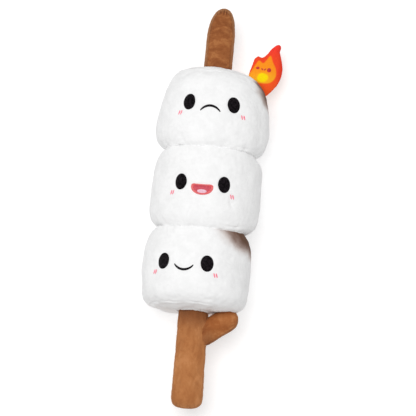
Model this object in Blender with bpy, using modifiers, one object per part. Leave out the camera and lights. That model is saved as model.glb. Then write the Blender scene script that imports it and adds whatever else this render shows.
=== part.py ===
"""A stuffed toy of three marshmallows toasting on a stick, lying on its back with its faces up.

The stick lies along Y with its tip at +Y, and the faces look up along Z. The origin is under the middle
marshmallow, on the small flat that it rests on. Everything is in metres.
"""

import math

import bmesh
import bpy

# Driving dimensions of the whole toy
AXIS_HEIGHT = 0.0575
UPPER_JOIN = 0.0440
LOWER_JOIN = -0.0424
LOWER_JOIN_PITCH_DEG = 3.0
TOP_MARSHMALLOW_END = 0.1390
BOTTOM_MARSHMALLOW_END = -0.1312
HIDDEN_END = 0.0025
SEAM_GAP = 0.0004
BIG_BLOCK = 0.4

# Turned marshmallow bodies: where each is widest, how square its two ends are, and how it leans
MARSHMALLOWS = {
    "marshmallow_top": {
        "centre_x": 0.0008,
        "low": UPPER_JOIN - HIDDEN_END,
        "widest": 0.079,
        "high": TOP_MARSHMALLOW_END,
        "radius": 0.0616,
        "low_power": 4.6,
        "high_power": 2.8,
        "roll_deg": -1.5,
        "pitch_deg": 0.0,
        "cuts": (("upper", "below"),),
    },
    "marshmallow_middle": {
        "centre_x": 0.0002,
        "low": LOWER_JOIN - HIDDEN_END,
        "widest": -0.002,
        "high": UPPER_JOIN + HIDDEN_END,
        "radius": 0.0602,
        "low_power": 5.2,
        "high_power": 5.2,
        "roll_deg": 0.0,
        "pitch_deg": 0.0,
        "cuts": (("lower", "below"), ("upper", "above")),
    },
    "marshmallow_bottom": {
        "centre_x": -0.0028,
        "low": BOTTOM_MARSHMALLOW_END,
        "widest": -0.088,
        "high": LOWER_JOIN + HIDDEN_END,
        "radius": 0.0593,
        "low_power": 5.2,
        "high_power": 4.8,
        "roll_deg": 0.0,
        "pitch_deg": -4.0,
        "cuts": (("lower", "above"),),
    },
}
JOINS = {
    "upper": {"y": UPPER_JOIN, "pitch_deg": 0.0},
    "lower": {"y": LOWER_JOIN, "pitch_deg": LOWER_JOIN_PITCH_DEG},
}
BODY_STEPS = 40
BODY_ROWS = 11
STUFFING_LUMP = 0.0026
STUFFING_SIZE = 0.045

# Stick: a blunt pointed tip above the marshmallows, a handle below them and a branch stub on the handle
TIP_WIDTH = 0.0312
TIP_POINT = 0.2105
TIP_TAPER = 0.036
TIP_POINT_POWER = 2.25
TIP_X = 0.0004
HANDLE_WIDTH = 0.0343
HANDLE_NECK_WIDTH = 0.0326
HANDLE_END = -0.2370
HANDLE_CORNER = 0.013
HANDLE_X = -0.0007
HANDLE_LEAN_DEG = 0.9
STICK_DEPTH_SHARE = 0.82
STICK_BURIED = 0.012
STICK_STEPS = 24
BRANCH_WIDTH = 0.0252
BRANCH_RISE_DEG = 37.0
BRANCH_END_X = 0.0345
BRANCH_END_Y = -0.1372
BRANCH_LENGTH = 0.046
BRANCH_DENT_ROOM = 0.0006

# Flame: a thin stuffed shape sewn to the shoulder of the top marshmallow
FLAME_Z = AXIS_HEIGHT - 0.021
FLAME_THICKNESS = 0.014
FLAME_CENTRE = (0.053, 0.146)
FLAME_PILLOW = (0.030, 0.043)
FLAME_OUTLINE = (
    (0.0672, 0.1794),
    (0.0695, 0.1770),
    (0.0684, 0.1710),
    (0.0710, 0.1620),
    (0.0730, 0.1500),
    (0.0712, 0.1390),
    (0.0650, 0.1280),
    (0.0555, 0.1185),
    (0.0420, 0.1140),
    (0.0320, 0.1220),
    (0.0345, 0.1370),
    (0.0380, 0.1520),
    (0.0435, 0.1642),
    (0.0486, 0.1630),
    (0.0540, 0.1672),
    (0.0605, 0.1760),
)

# Faces: turned about the stick by their own angle, with eyes, a mouth and two blushing cheeks
FACES = {
    "top": {"turn_deg": -3.4, "eye_y": 0.0901},
    "middle": {"turn_deg": -4.5, "eye_y": 0.0028},
    "bottom": {"turn_deg": -12.3, "eye_y": -0.0834},
}
EYE_SPREAD_DEG = 23.0
EYE_WIDTH = 0.0134
EYE_HEIGHT = 0.0173
CHEEK_SPREAD_DEG = 33.6
CHEEK_DROP = 0.0118
BLUSH_LENGTH = 0.0048
BLUSH_WIDTH = 0.0012
BLUSH_APART = 0.0026
BLUSH_SLANT_DEG = 72.0
BLUSH_BEND_RADIUS = 0.05
MOUTH_LINE_WIDTH = 0.0022
FROWN_RADIUS = 0.0119
FROWN_HALF_DEG = 63.0
FROWN_DROP = 0.0024
SMILE_RADIUS = 0.0123
SMILE_HALF_DEG = 57.0
SMILE_DROP = 0.0083
OPEN_MOUTH_HALF_WIDTH = 0.0118
OPEN_MOUTH_ABOVE = 0.0044
OPEN_MOUTH_BELOW = 0.0084
OPEN_MOUTH_DROP = 0.0060
OPEN_MOUTH_SQUARENESS = 3.6
OPEN_MOUTH_DIP = 0.16
LIP_SHARE = 0.82
LIP_CLEAR_SHARE = 0.04
TONGUE_HALF_WIDTH = 0.0054
TONGUE_HALF_HEIGHT = 0.0023
TONGUE_DROP = 0.0036

# Stitched pieces lie this far above the pile and are this thick
STITCH_LIFT = 0.00045
STITCH_THICKNESS = 0.0008
STITCH_THIN = 0.0005
STITCH_DROP_HEIGHT = 0.01
STROKE_END_TAPER = 0.86

# Colours, as base colour and roughness
WHITE_PLUSH = ((0.93, 0.92, 0.91), 0.95)
BROWN_PLUSH = ((0.33, 0.11, 0.035), 0.9)
BLACK_THREAD = ((0.010, 0.008, 0.010), 0.5)
LIP_THREAD = ((0.87, 0.16, 0.16), 0.5)
MOUTH_THREAD = ((0.60, 0.08, 0.11), 0.5)
TONGUE_THREAD = ((0.77, 0.47, 0.56), 0.5)
BLUSH_THREAD = ((0.93, 0.33, 0.42), 0.6)
FLAME_CLOTH = ((0.80, 0.10, 0.03), 0.6)


def clear_scene():
    """Removes the objects that a new file starts with."""
    for thing in list(bpy.data.objects):
        bpy.data.objects.remove(thing, do_unlink=True)


def make_collection(name):
    """Adds a collection to the scene."""
    group = bpy.data.collections.new(name)
    bpy.context.scene.collection.children.link(group)
    return group


def make_material(name, look):
    """Makes a plain fabric or thread from its base colour and roughness."""
    colour, roughness = look
    material = bpy.data.materials.new(name)
    material.use_nodes = True
    shader = material.node_tree.nodes["Principled BSDF"]
    shader.inputs["Base Color"].default_value = (*colour, 1.0)
    shader.inputs["Roughness"].default_value = roughness
    shader.inputs["Metallic"].default_value = 0.0
    return material


def add_object(name, mesh, group, look=None):
    """Puts a mesh in a collection, as a dressed piece or, with no look, as a cutter."""
    thing = bpy.data.objects.new(name, mesh)
    group.objects.link(thing)
    if look is None:
        thing.hide_render = True
        thing.display_type = "WIRE"
    else:
        mesh.materials.append(make_material(name + "_finish", look))
    return thing


def line_mesh(name, points):
    """Makes an open chain of edges, the profile of a turned piece."""
    chain = bmesh.new()
    corners = [chain.verts.new(point) for point in points]
    for start, end in zip(corners, corners[1:]):
        chain.edges.new((start, end))
    mesh = bpy.data.meshes.new(name)
    chain.to_mesh(mesh)
    chain.free()
    return mesh


def turn_about_stick(thing, steps):
    """Turns a profile about its local Z, and lays that axis along +Y."""
    screw = thing.modifiers.new("turned", "SCREW")
    screw.axis = "Z"
    screw.steps = steps
    screw.render_steps = steps
    screw.use_merge_vertices = True
    screw.merge_threshold = 0.00001
    screw.use_smooth_shade = True
    thing.rotation_euler = (-math.pi / 2, 0.0, 0.0)


def cut(thing, cutter, operation="DIFFERENCE"):
    """Cuts a piece with a closed cutter."""
    boolean = thing.modifiers.new("cut_by_" + cutter.name, "BOOLEAN")
    boolean.operation = operation
    boolean.solver = "EXACT"
    boolean.object = cutter


def block(name, group, centre):
    """Makes a big cube that cuts away everything on one side of a plane."""
    bpy.ops.mesh.primitive_cube_add(size=BIG_BLOCK, location=centre)
    return keep_as_cutter(bpy.context.object, name, group)


def keep_as_cutter(thing, name, group):
    """Names a new primitive and moves it among the cutters."""
    thing.name = name
    for holder in list(thing.users_collection):
        holder.objects.unlink(thing)
    group.objects.link(thing)
    thing.hide_render = True
    thing.display_type = "WIRE"
    return thing


def grown_copy(source, name, group, amount):
    """Copies a piece with its modifiers, a little larger all over, to cut its neighbour clear of it."""
    larger = source.copy()
    larger.data = source.data.copy()
    larger.name = name
    group.objects.link(larger)
    larger.hide_render = True
    larger.display_type = "WIRE"
    swell = larger.modifiers.new("swell", "DISPLACE")
    swell.direction = "NORMAL"
    swell.mid_level = 0.0
    swell.strength = amount
    return larger


def marshmallow_profile(low, widest, high, radius, low_power, high_power):
    """Gives a marshmallow's side from its high end to its low end, as two rounded quarters."""
    points = []
    for row in range(BODY_ROWS + 1):
        angle = math.pi / 2 * (1 - row / BODY_ROWS)
        out = math.cos(angle) ** (2 / high_power)
        along = math.sin(angle) ** (2 / high_power)
        points.append((radius * out if row else 0.0, 0.0, widest + (high - widest) * along))
    for row in range(1, BODY_ROWS + 1):
        angle = math.pi / 2 * row / BODY_ROWS
        out = math.cos(angle) ** (2 / low_power) if row < BODY_ROWS else 0.0
        along = math.sin(angle) ** (2 / low_power)
        points.append((radius * out, 0.0, widest - (widest - low) * along))
    return points


def make_marshmallow(name, group, cutters, floor, lumps):
    """Makes one stuffed marshmallow, flat where it rests and where it meets its neighbours."""
    size = MARSHMALLOWS[name]
    points = marshmallow_profile(
        size["low"], size["widest"], size["high"], size["radius"], size["low_power"], size["high_power"]
    )
    body = add_object(name, line_mesh(name, points), group, WHITE_PLUSH)
    turn_about_stick(body, BODY_STEPS)
    roll = math.radians(size["roll_deg"])
    pitch = math.radians(size["pitch_deg"])
    body.rotation_euler = (pitch - math.pi / 2, 0.0, roll)
    body.location = (
        size["centre_x"] + size["widest"] * math.sin(roll),
        0.0,
        AXIS_HEIGHT - size["widest"] * math.sin(pitch),
    )
    stuffing = body.modifiers.new("stuffing", "DISPLACE")
    stuffing.texture = lumps
    stuffing.texture_coords = "GLOBAL"
    stuffing.mid_level = 0.5
    stuffing.strength = STUFFING_LUMP
    cut(body, floor)
    for join, side in size["cuts"]:
        plane = JOINS[join]
        pitch = math.radians(plane["pitch_deg"])
        shift = SEAM_GAP / 2 - BIG_BLOCK / 2 if side == "below" else BIG_BLOCK / 2 - SEAM_GAP / 2
        centre = (0.0, plane["y"] + shift * math.cos(pitch), AXIS_HEIGHT + shift * math.sin(pitch))
        half_space = block(f"{name}_{side}", cutters, centre)
        half_space.rotation_euler = (pitch, 0.0, 0.0)
        cut(body, half_space)
    return body


def make_tip(group, top_cutter):
    """Makes the stick's blunt pointed tip, cut to the dome that it is sewn to."""
    shoulder = TIP_POINT - TIP_TAPER
    radius = TIP_WIDTH / 2
    rows = 9
    points = []
    for row in range(rows + 1):
        angle = math.pi / 2 * (1 - row / rows)
        out = math.cos(angle) ** (2 / TIP_POINT_POWER) if row else 0.0
        along = math.sin(angle) ** (2 / TIP_POINT_POWER)
        points.append((radius * out, 0.0, shoulder + TIP_TAPER * along))
    base = TOP_MARSHMALLOW_END - STICK_BURIED
    points.append((radius, 0.0, (shoulder + base) / 2))
    points.append((radius, 0.0, base))
    points.append((0.0, 0.0, base))
    tip = add_object("stick_tip", line_mesh("stick_tip", points), group, BROWN_PLUSH)
    turn_about_stick(tip, STICK_STEPS)
    tip.location = (TIP_X, 0.0, AXIS_HEIGHT)
    tip.scale = (1.0, STICK_DEPTH_SHARE, 1.0)
    cut(tip, top_cutter)
    return tip


def make_handle(group, bottom_cutter):
    """Makes the handle, a little wider towards its blunt end."""
    neck = HANDLE_NECK_WIDTH / 2
    wide = HANDLE_WIDTH / 2
    start = BOTTOM_MARSHMALLOW_END + STICK_BURIED
    corner_start = HANDLE_END + HANDLE_CORNER
    points = [(0.0, 0.0, start), (neck, 0.0, start)]
    runs = 4
    for run in range(1, runs + 1):
        share = run / runs
        points.append((neck + (wide - neck) * share, 0.0, start + (corner_start - start) * share))
    rows = 6
    for row in range(1, rows + 1):
        angle = math.pi / 2 * row / rows
        out = wide - HANDLE_CORNER * (1 - math.cos(angle))
        points.append((out, 0.0, corner_start - HANDLE_CORNER * math.sin(angle)))
    points.append((0.0, 0.0, HANDLE_END))
    handle = add_object("stick_handle", line_mesh("stick_handle", points), group, BROWN_PLUSH)
    turn_about_stick(handle, STICK_STEPS)
    lean = math.radians(HANDLE_LEAN_DEG)
    handle.rotation_euler = (-math.pi / 2, 0.0, lean)
    handle.location = (HANDLE_X + math.sin(lean) * (start + HANDLE_END) / 2, 0.0, AXIS_HEIGHT)
    handle.scale = (1.0, STICK_DEPTH_SHARE, 1.0)
    cut(handle, bottom_cutter)
    return handle


def branch_profile():
    """Gives the branch's side, from its rounded end down to its foot inside the handle."""
    radius = BRANCH_WIDTH / 2
    rows = 6
    points = []
    for row in range(rows + 1):
        angle = math.pi / 2 * (1 - row / rows)
        points.append((radius * math.cos(angle) if row else 0.0, 0.0, radius * math.sin(angle)))
    points.append((radius, 0.0, -BRANCH_LENGTH / 2))
    points.append((radius, 0.0, -BRANCH_LENGTH))
    points.append((0.0, 0.0, -BRANCH_LENGTH))
    return points


def place_branch(branch):
    """Lays the branch in the faces' plane, rising from the handle towards the marshmallows."""
    turn_about_stick(branch, STICK_STEPS)
    branch.rotation_euler = (-math.pi / 2, 0.0, math.radians(BRANCH_RISE_DEG - 90.0))
    branch.location = (BRANCH_END_X, BRANCH_END_Y, AXIS_HEIGHT)
    branch.scale = (1.0, STICK_DEPTH_SHARE, 1.0)


def make_flame(group, cutters, top_cutter):
    """Makes the flame: its outline, thinned to a pillow and cut to the shoulder that it is sewn to."""
    curve = bpy.data.curves.new("flame_outline", "CURVE")
    curve.dimensions = "2D"
    curve.fill_mode = "BOTH"
    curve.extrude = FLAME_THICKNESS / 2
    curve.resolution_u = 3
    spline = curve.splines.new("BEZIER")
    spline.bezier_points.add(len(FLAME_OUTLINE) - 1)
    for knot, (x, y) in zip(spline.bezier_points, FLAME_OUTLINE):
        knot.co = (x, y, 0.0)
        knot.handle_left_type = "AUTO"
        knot.handle_right_type = "AUTO"
    spline.use_cyclic_u = True
    drawn = bpy.data.objects.new("flame_drawn", curve)
    group.objects.link(drawn)
    depsgraph = bpy.context.evaluated_depsgraph_get()
    mesh = bpy.data.meshes.new_from_object(drawn.evaluated_get(depsgraph))
    bpy.data.objects.remove(drawn, do_unlink=True)
    weld = bmesh.new()
    weld.from_mesh(mesh)
    bmesh.ops.remove_doubles(weld, verts=weld.verts, dist=0.00001)
    bmesh.ops.recalc_face_normals(weld, faces=weld.faces)
    weld.to_mesh(mesh)
    weld.free()
    flame = add_object("flame", mesh, group, FLAME_CLOTH)
    flame.location = (0.0, 0.0, FLAME_Z)

    bpy.ops.mesh.primitive_uv_sphere_add(segments=32, ring_count=14, radius=1.0)
    pillow = keep_as_cutter(bpy.context.object, "flame_pillow", cutters)
    pillow.location = (*FLAME_CENTRE, FLAME_Z)
    pillow.scale = (*FLAME_PILLOW, FLAME_THICKNESS / 2)
    cut(flame, pillow, "INTERSECT")
    cut(flame, top_cutter)
    return flame


def disc_mesh(name, outline, segments):
    """Makes a flat filled shape: outline(angle) gives its edge, and the middle is filled evenly."""
    shape = bmesh.new()
    bmesh.ops.create_circle(shape, cap_ends=True, cap_tris=True, segments=segments, radius=1.0)
    bmesh.ops.subdivide_edges(shape, edges=shape.edges, cuts=1, use_grid_fill=True)
    for corner in shape.verts:
        share = corner.co.xy.length
        x, y = outline(math.atan2(corner.co.y, corner.co.x)) if share else (0.0, 0.0)
        corner.co = (x * share, y * share, 0.0)
    mesh = bpy.data.meshes.new(name)
    shape.to_mesh(mesh)
    shape.free()
    return mesh


def ring_mesh(name, outline, inner_share, segments):
    """Makes a flat ring between an outline and the same outline drawn smaller."""
    shape = bmesh.new()
    bmesh.ops.create_circle(shape, cap_ends=False, segments=segments, radius=1.0)
    outer = list(shape.edges)
    made = bmesh.ops.extrude_edge_only(shape, edges=outer)["geom"]
    inner = {corner for corner in made if isinstance(corner, bmesh.types.BMVert)}
    for corner in shape.verts:
        x, y = outline(math.atan2(corner.co.y, corner.co.x))
        share = inner_share if corner in inner else 1.0
        corner.co = (x * share, y * share, 0.0)
    mesh = bpy.data.meshes.new(name)
    bmesh.ops.recalc_face_normals(shape, faces=shape.faces)
    shape.to_mesh(mesh)
    shape.free()
    return mesh


def stroke_mesh(name, radius, half_angle, width, turn, columns):
    """Makes a flat stroke that bends round an arc, narrow at both ends, drawn at an angle."""
    shape = bmesh.new()
    bmesh.ops.create_grid(shape, x_segments=columns, y_segments=2, size=1.0)
    for corner in shape.verts:
        along, across = corner.co.x, corner.co.y
        angle = along * half_angle
        reach = radius + across * width / 2 * math.sqrt(1.0 - STROKE_END_TAPER * along * along)
        x = reach * math.sin(angle)
        y = reach * math.cos(angle) - radius
        corner.co = (x * math.cos(turn) - y * math.sin(turn), x * math.sin(turn) + y * math.cos(turn), 0.0)
    mesh = bpy.data.meshes.new(name)
    shape.to_mesh(mesh)
    shape.free()
    return mesh


def eye_outline(angle):
    """Gives an eye's edge."""
    return EYE_WIDTH / 2 * math.cos(angle), EYE_HEIGHT / 2 * math.sin(angle)


def open_mouth_outline(angle):
    """Gives the open mouth's edge: a deep bowl below, a nearly straight lip above."""
    across, up = math.cos(angle), math.sin(angle)
    if up < 0.0:
        return OPEN_MOUTH_HALF_WIDTH * across, OPEN_MOUTH_BELOW * up
    squareness = 2 / OPEN_MOUTH_SQUARENESS
    x = OPEN_MOUTH_HALF_WIDTH * math.copysign(abs(across) ** squareness, across)
    dip = OPEN_MOUTH_DIP * up * (1 - across * across)
    return x, OPEN_MOUTH_ABOVE * (up**squareness - dip)


def tongue_outline(angle):
    """Gives the tongue's edge."""
    return TONGUE_HALF_WIDTH * math.cos(angle), TONGUE_HALF_HEIGHT * math.sin(angle)


def stitch_on(thing, marshmallow, angle_deg, y, lift, thickness):
    """Lays a flat shape on a marshmallow, at an angle round the stick, and gives it its thickness."""
    size = MARSHMALLOWS[marshmallow.name]
    angle = math.radians(angle_deg)
    hover = size["radius"] + STITCH_DROP_HEIGHT
    thing.rotation_euler = (0.0, angle, 0.0)
    thing.location = (
        size["centre_x"] + hover * math.sin(angle),
        y,
        AXIS_HEIGHT + hover * math.cos(angle),
    )
    wrap = thing.modifiers.new("laid_on", "SHRINKWRAP")
    wrap.target = marshmallow
    wrap.wrap_method = "PROJECT"
    wrap.wrap_mode = "ABOVE_SURFACE"
    wrap.use_project_z = True
    wrap.use_positive_direction = False
    wrap.use_negative_direction = True
    wrap.offset = lift
    thicken = thing.modifiers.new("thread", "SOLIDIFY")
    thicken.thickness = thickness
    thicken.offset = 1.0


def make_face(which, group, marshmallow):
    """Makes the eyes, the mouth and the cheeks' blush strokes of one marshmallow."""
    face = FACES[which]
    turn = face["turn_deg"]
    eye_y = face["eye_y"]
    for side, sign in (("left", -1), ("right", 1)):
        name = f"eye_{which}_{side}"
        eye = add_object(name, disc_mesh(name, eye_outline, 20), group, BLACK_THREAD)
        stitch_on(eye, marshmallow, turn + sign * EYE_SPREAD_DEG, eye_y, STITCH_LIFT, STITCH_THICKNESS)
        cheek = turn + sign * CHEEK_SPREAD_DEG
        step = math.degrees(BLUSH_APART / 2 / MARSHMALLOWS[marshmallow.name]["radius"])
        half_stroke = math.asin(BLUSH_LENGTH / 2 / BLUSH_BEND_RADIUS)
        slant = math.radians(BLUSH_SLANT_DEG) * -sign
        for place, shift in (("outer", sign), ("inner", -sign)):
            name = f"blush_{which}_{side}_{place}"
            mesh = stroke_mesh(name, BLUSH_BEND_RADIUS, half_stroke, BLUSH_WIDTH, slant, 4)
            blush = add_object(name, mesh, group, BLUSH_THREAD)
            stitch_on(blush, marshmallow, cheek + shift * step, eye_y - CHEEK_DROP, STITCH_LIFT, STITCH_THIN)
    if which == "top":
        half_angle = math.radians(FROWN_HALF_DEG)
        mesh = stroke_mesh("mouth_frown", FROWN_RADIUS, half_angle, MOUTH_LINE_WIDTH, 0.0, 16)
        frown = add_object("mouth_frown", mesh, group, BLACK_THREAD)
        stitch_on(frown, marshmallow, turn, eye_y - FROWN_DROP, STITCH_LIFT, STITCH_THICKNESS)
    elif which == "bottom":
        half_angle = math.radians(SMILE_HALF_DEG)
        mesh = stroke_mesh("mouth_smile", SMILE_RADIUS, half_angle, MOUTH_LINE_WIDTH, math.pi, 16)
        smile = add_object("mouth_smile", mesh, group, BLACK_THREAD)
        stitch_on(smile, marshmallow, turn, eye_y - SMILE_DROP, STITCH_LIFT, STITCH_THICKNESS)
    else:
        make_open_mouth(group, marshmallow, turn, eye_y - OPEN_MOUTH_DROP)


def make_open_mouth(group, marshmallow, turn, y):
    """Makes the open mouth: a lip ring, the mouth inside it and the tongue on that."""
    ring = ring_mesh("mouth_lip", open_mouth_outline, LIP_SHARE, 32)
    lip = add_object("mouth_lip", ring, group, LIP_THREAD)
    stitch_on(lip, marshmallow, turn, y, STITCH_LIFT, STITCH_THICKNESS)
    inside_share = LIP_SHARE - LIP_CLEAR_SHARE

    def inside_outline(angle):
        x, up = open_mouth_outline(angle)
        return x * inside_share, up * inside_share

    bowl = disc_mesh("mouth_inside", inside_outline, 28)
    inside = add_object("mouth_inside", bowl, group, MOUTH_THREAD)
    stitch_on(inside, marshmallow, turn, y, STITCH_LIFT, STITCH_THIN)
    oval = disc_mesh("mouth_tongue", tongue_outline, 16)
    tongue = add_object("mouth_tongue", oval, group, TONGUE_THREAD)
    above_inside = STITCH_LIFT + STITCH_THIN + STITCH_LIFT
    stitch_on(tongue, marshmallow, turn, y - TONGUE_DROP, above_inside, STITCH_THIN)


def build():
    """Builds the whole toy."""
    clear_scene()
    toy = make_collection("marshmallow_stick_toy")
    cutters = make_collection("cutters")
    lumps = bpy.data.textures.new("stuffing_lumps", "CLOUDS")
    lumps.noise_scale = STUFFING_SIZE
    lumps.noise_depth = 1
    floor = block("resting_surface", cutters, (0.0, 0.0, -BIG_BLOCK / 2))
    floor.scale = (2.0, 2.0, 1.0)

    top = make_marshmallow("marshmallow_top", toy, cutters, floor, lumps)
    middle = make_marshmallow("marshmallow_middle", toy, cutters, floor, lumps)
    bottom = make_marshmallow("marshmallow_bottom", toy, cutters, floor, lumps)

    dent = add_object("branch_dent", line_mesh("branch_dent", branch_profile()), cutters)
    place_branch(dent)
    dent_room = dent.modifiers.new("room", "DISPLACE")
    dent_room.mid_level = 0.0
    dent_room.strength = BRANCH_DENT_ROOM
    cut(bottom, dent)

    top_cutter = grown_copy(top, "top_clearance", cutters, SEAM_GAP)
    bottom_cutter = grown_copy(bottom, "bottom_clearance", cutters, SEAM_GAP)
    make_tip(toy, top_cutter)
    handle = make_handle(toy, bottom_cutter)
    handle_cutter = grown_copy(handle, "handle_clearance", cutters, SEAM_GAP)
    branch = add_object("stick_branch", line_mesh("stick_branch", branch_profile()), toy, BROWN_PLUSH)
    place_branch(branch)
    cut(branch, handle_cutter)
    make_flame(toy, cutters, top_cutter)

    for which, marshmallow in (("top", top), ("middle", middle), ("bottom", bottom)):
        make_face(which, toy, marshmallow)


build()
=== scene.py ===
"""Looks of a stuffed toy: three toasted marshmallows with stitched faces on a brown velvet stick.

The toy lies on its back on a pale floor, its stick along Y and its faces up along Z, and the camera
looks down on it. Everything is in metres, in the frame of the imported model.
"""

import logging
import math
from collections.abc import Sequence
from dataclasses import dataclass
from enum import Enum

import bpy
import numpy as np
from mathutils import Matrix, Vector, noise
from mathutils.bvhtree import BVHTree


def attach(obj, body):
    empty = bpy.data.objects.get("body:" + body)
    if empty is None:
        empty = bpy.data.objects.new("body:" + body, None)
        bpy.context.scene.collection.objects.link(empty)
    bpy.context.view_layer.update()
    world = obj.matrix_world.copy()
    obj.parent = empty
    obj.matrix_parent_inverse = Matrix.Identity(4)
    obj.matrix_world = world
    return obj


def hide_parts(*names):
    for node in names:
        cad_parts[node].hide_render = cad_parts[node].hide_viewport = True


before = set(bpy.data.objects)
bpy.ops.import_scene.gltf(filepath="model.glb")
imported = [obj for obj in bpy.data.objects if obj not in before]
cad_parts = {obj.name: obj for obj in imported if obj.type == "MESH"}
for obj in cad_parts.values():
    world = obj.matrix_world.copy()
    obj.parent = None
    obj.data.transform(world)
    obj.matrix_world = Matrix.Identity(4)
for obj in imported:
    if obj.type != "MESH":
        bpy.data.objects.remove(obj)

LOG = logging.getLogger("marshmallow_toy")
BODY = "root"

MM = 0.001
MERGE_DISTANCE = 0.00001

# Height of the stick's middle line above the floor, and where each marshmallow's middle lies across it.
AXIS_HEIGHT = 0.0575
CENTRE_X = {"top": 0.0008, "middle": 0.0002, "bottom": -0.0028}

# Where the marshmallows are pressed together along the stick, and how far the lower join leans.
UPPER_JOIN = 0.0440
LOWER_JOIN = -0.0424
LOWER_JOIN_LEAN_DEG = 3.0

# Nearer to the stick than this, a marshmallow's flat end gets neither toasting nor painted shadow.
END_FACE_REACH = 0.048

# The marshmallows are pressed together in full up to one angle from the front, and not past another.
FRONT_FULL_DEG = 36.0
FRONT_ENDS_DEG = 84.0

# The plush's lumps, from large to small: how high they are, how wide, and a shift of their pattern.
LUMPS = ((0.00055, 0.0160, 0.0), (0.00016, 0.0045, 7.0), (0.00006, 0.0018, 13.0))

Colour = tuple[float, float, float, float]


def screen_colour(red: float, green: float, blue: float) -> Colour:
    """Turns a colour as a screen shows it into the shader's linear values.

    Args:
        red: Red, from 0 to 255.
        green: Green, from 0 to 255.
        blue: Blue, from 0 to 255.

    Returns:
        The linear colour, with full alpha.
    """

    def linear(value: float) -> float:
        """Turns one channel into its linear value."""
        share = value / 255.0
        return share / 12.92 if share <= 0.04045 else ((share + 0.055) / 1.055) ** 2.4

    return linear(red), linear(green), linear(blue), 1.0


def smooth_step(values: np.ndarray, low: float, high: float) -> np.ndarray:
    """Rises smoothly from 0 at low to 1 at high, or falls where low is above high."""
    share = np.clip((values - low) / (high - low), 0.0, 1.0)
    return share * share * (3.0 - 2.0 * share)


def bump(values: np.ndarray, width: float) -> np.ndarray:
    """Gives a soft bump of height 1 round zero, as wide as width to each side."""
    return np.exp(-((values / width) ** 2))


def ripple(angles: np.ndarray, seed: int, slowest: int, fastest: int) -> np.ndarray:
    """Gives an uneven wave round a circle, with no step where the circle closes.

    Args:
        angles: Angles in radians.
        seed: Seed of the waves' sizes and shifts.
        slowest: Fewest waves round the circle.
        fastest: Most waves round the circle.

    Returns:
        Values mostly between -1 and 1.
    """
    random = np.random.default_rng(seed)
    total = np.zeros_like(angles)
    counts = np.arange(slowest, fastest + 1)
    for count in counts:
        total += random.uniform(0.4, 1.0) * np.cos(count * angles + random.uniform(0.0, math.tau))
    return total / math.sqrt(len(counts) / 2.0) * 0.6


def noise_field(points: np.ndarray, sizes: Sequence[float], shift: float = 0.0) -> np.ndarray:
    """Gives soft noise at each point.

    Args:
        points: Places, one a row.
        sizes: Size of a lump along X, Y and Z.
        shift: Moves the pattern, so that two pieces differ.

    Returns:
        One value a point, mostly between -1 and 1.
    """
    scaled = points / np.array(sizes) + shift
    return np.array([noise.noise(Vector(place)) for place in scaled]) * 1.6


def select_only(piece: bpy.types.Object) -> None:
    """Selects one object and makes it the active one."""
    bpy.ops.object.select_all(action="DESELECT")
    piece.select_set(True)
    bpy.context.view_layer.objects.active = piece


def apply_modifier(piece: bpy.types.Object, name: str) -> None:
    """Applies one modifier of a piece."""
    select_only(piece)
    bpy.ops.object.modifier_apply(modifier=name)


def read_points(piece: bpy.types.Object) -> np.ndarray:
    """Gives a piece's vertices, one a row."""
    flat = np.empty(len(piece.data.vertices) * 3)
    piece.data.vertices.foreach_get("co", flat)
    return flat.reshape(-1, 3)


def read_normals(piece: bpy.types.Object) -> np.ndarray:
    """Gives the normals of a piece's vertices, one a row."""
    flat = np.empty(len(piece.data.vertices) * 3)
    piece.data.vertex_normals.foreach_get("vector", flat)
    return flat.reshape(-1, 3)


def write_points(piece: bpy.types.Object, points: np.ndarray) -> None:
    """Moves a piece's vertices."""
    piece.data.vertices.foreach_set("co", points.astype(np.float32).ravel())
    piece.data.update()


def surface_tree(piece: bpy.types.Object) -> BVHTree:
    """Makes a tree for finding places on a piece's surface."""
    corners = [tuple(place) for place in read_points(piece)]
    return BVHTree.FromPolygons(corners, [tuple(face.vertices) for face in piece.data.polygons])


def copy_node(node: str, name: str) -> bpy.types.Object:
    """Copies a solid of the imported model, with its doubled corners merged.

    Args:
        node: Name of the solid.
        name: Name of the new piece.

    Returns:
        The new piece, with no material.
    """
    piece = bpy.data.objects.new(name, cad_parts[node].data.copy())
    bpy.context.scene.collection.objects.link(piece)
    piece.data.materials.clear()
    select_only(piece)
    bpy.ops.object.mode_set(mode="EDIT")
    bpy.ops.mesh.select_all(action="SELECT")
    bpy.ops.mesh.remove_doubles(threshold=MERGE_DISTANCE)
    bpy.ops.object.mode_set(mode="OBJECT")
    return piece


def remesh(piece: bpy.types.Object, voxel: float) -> None:
    """Rebuilds a piece from even squares."""
    even = piece.modifiers.new("even", "REMESH")
    even.mode = "VOXEL"
    even.voxel_size = voxel
    apply_modifier(piece, even.name)


def subdivide(piece: bpy.types.Object, levels: int) -> None:
    """Rounds a piece and makes its faces smaller."""
    rounder = piece.modifiers.new("rounder", "SUBSURF")
    rounder.levels = levels
    rounder.render_levels = levels
    apply_modifier(piece, rounder.name)


def shade_smooth(piece: bpy.types.Object) -> None:
    """Shades a piece smooth."""
    piece.data.polygons.foreach_set("use_smooth", [True] * len(piece.data.polygons))
    piece.data.update()


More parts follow.
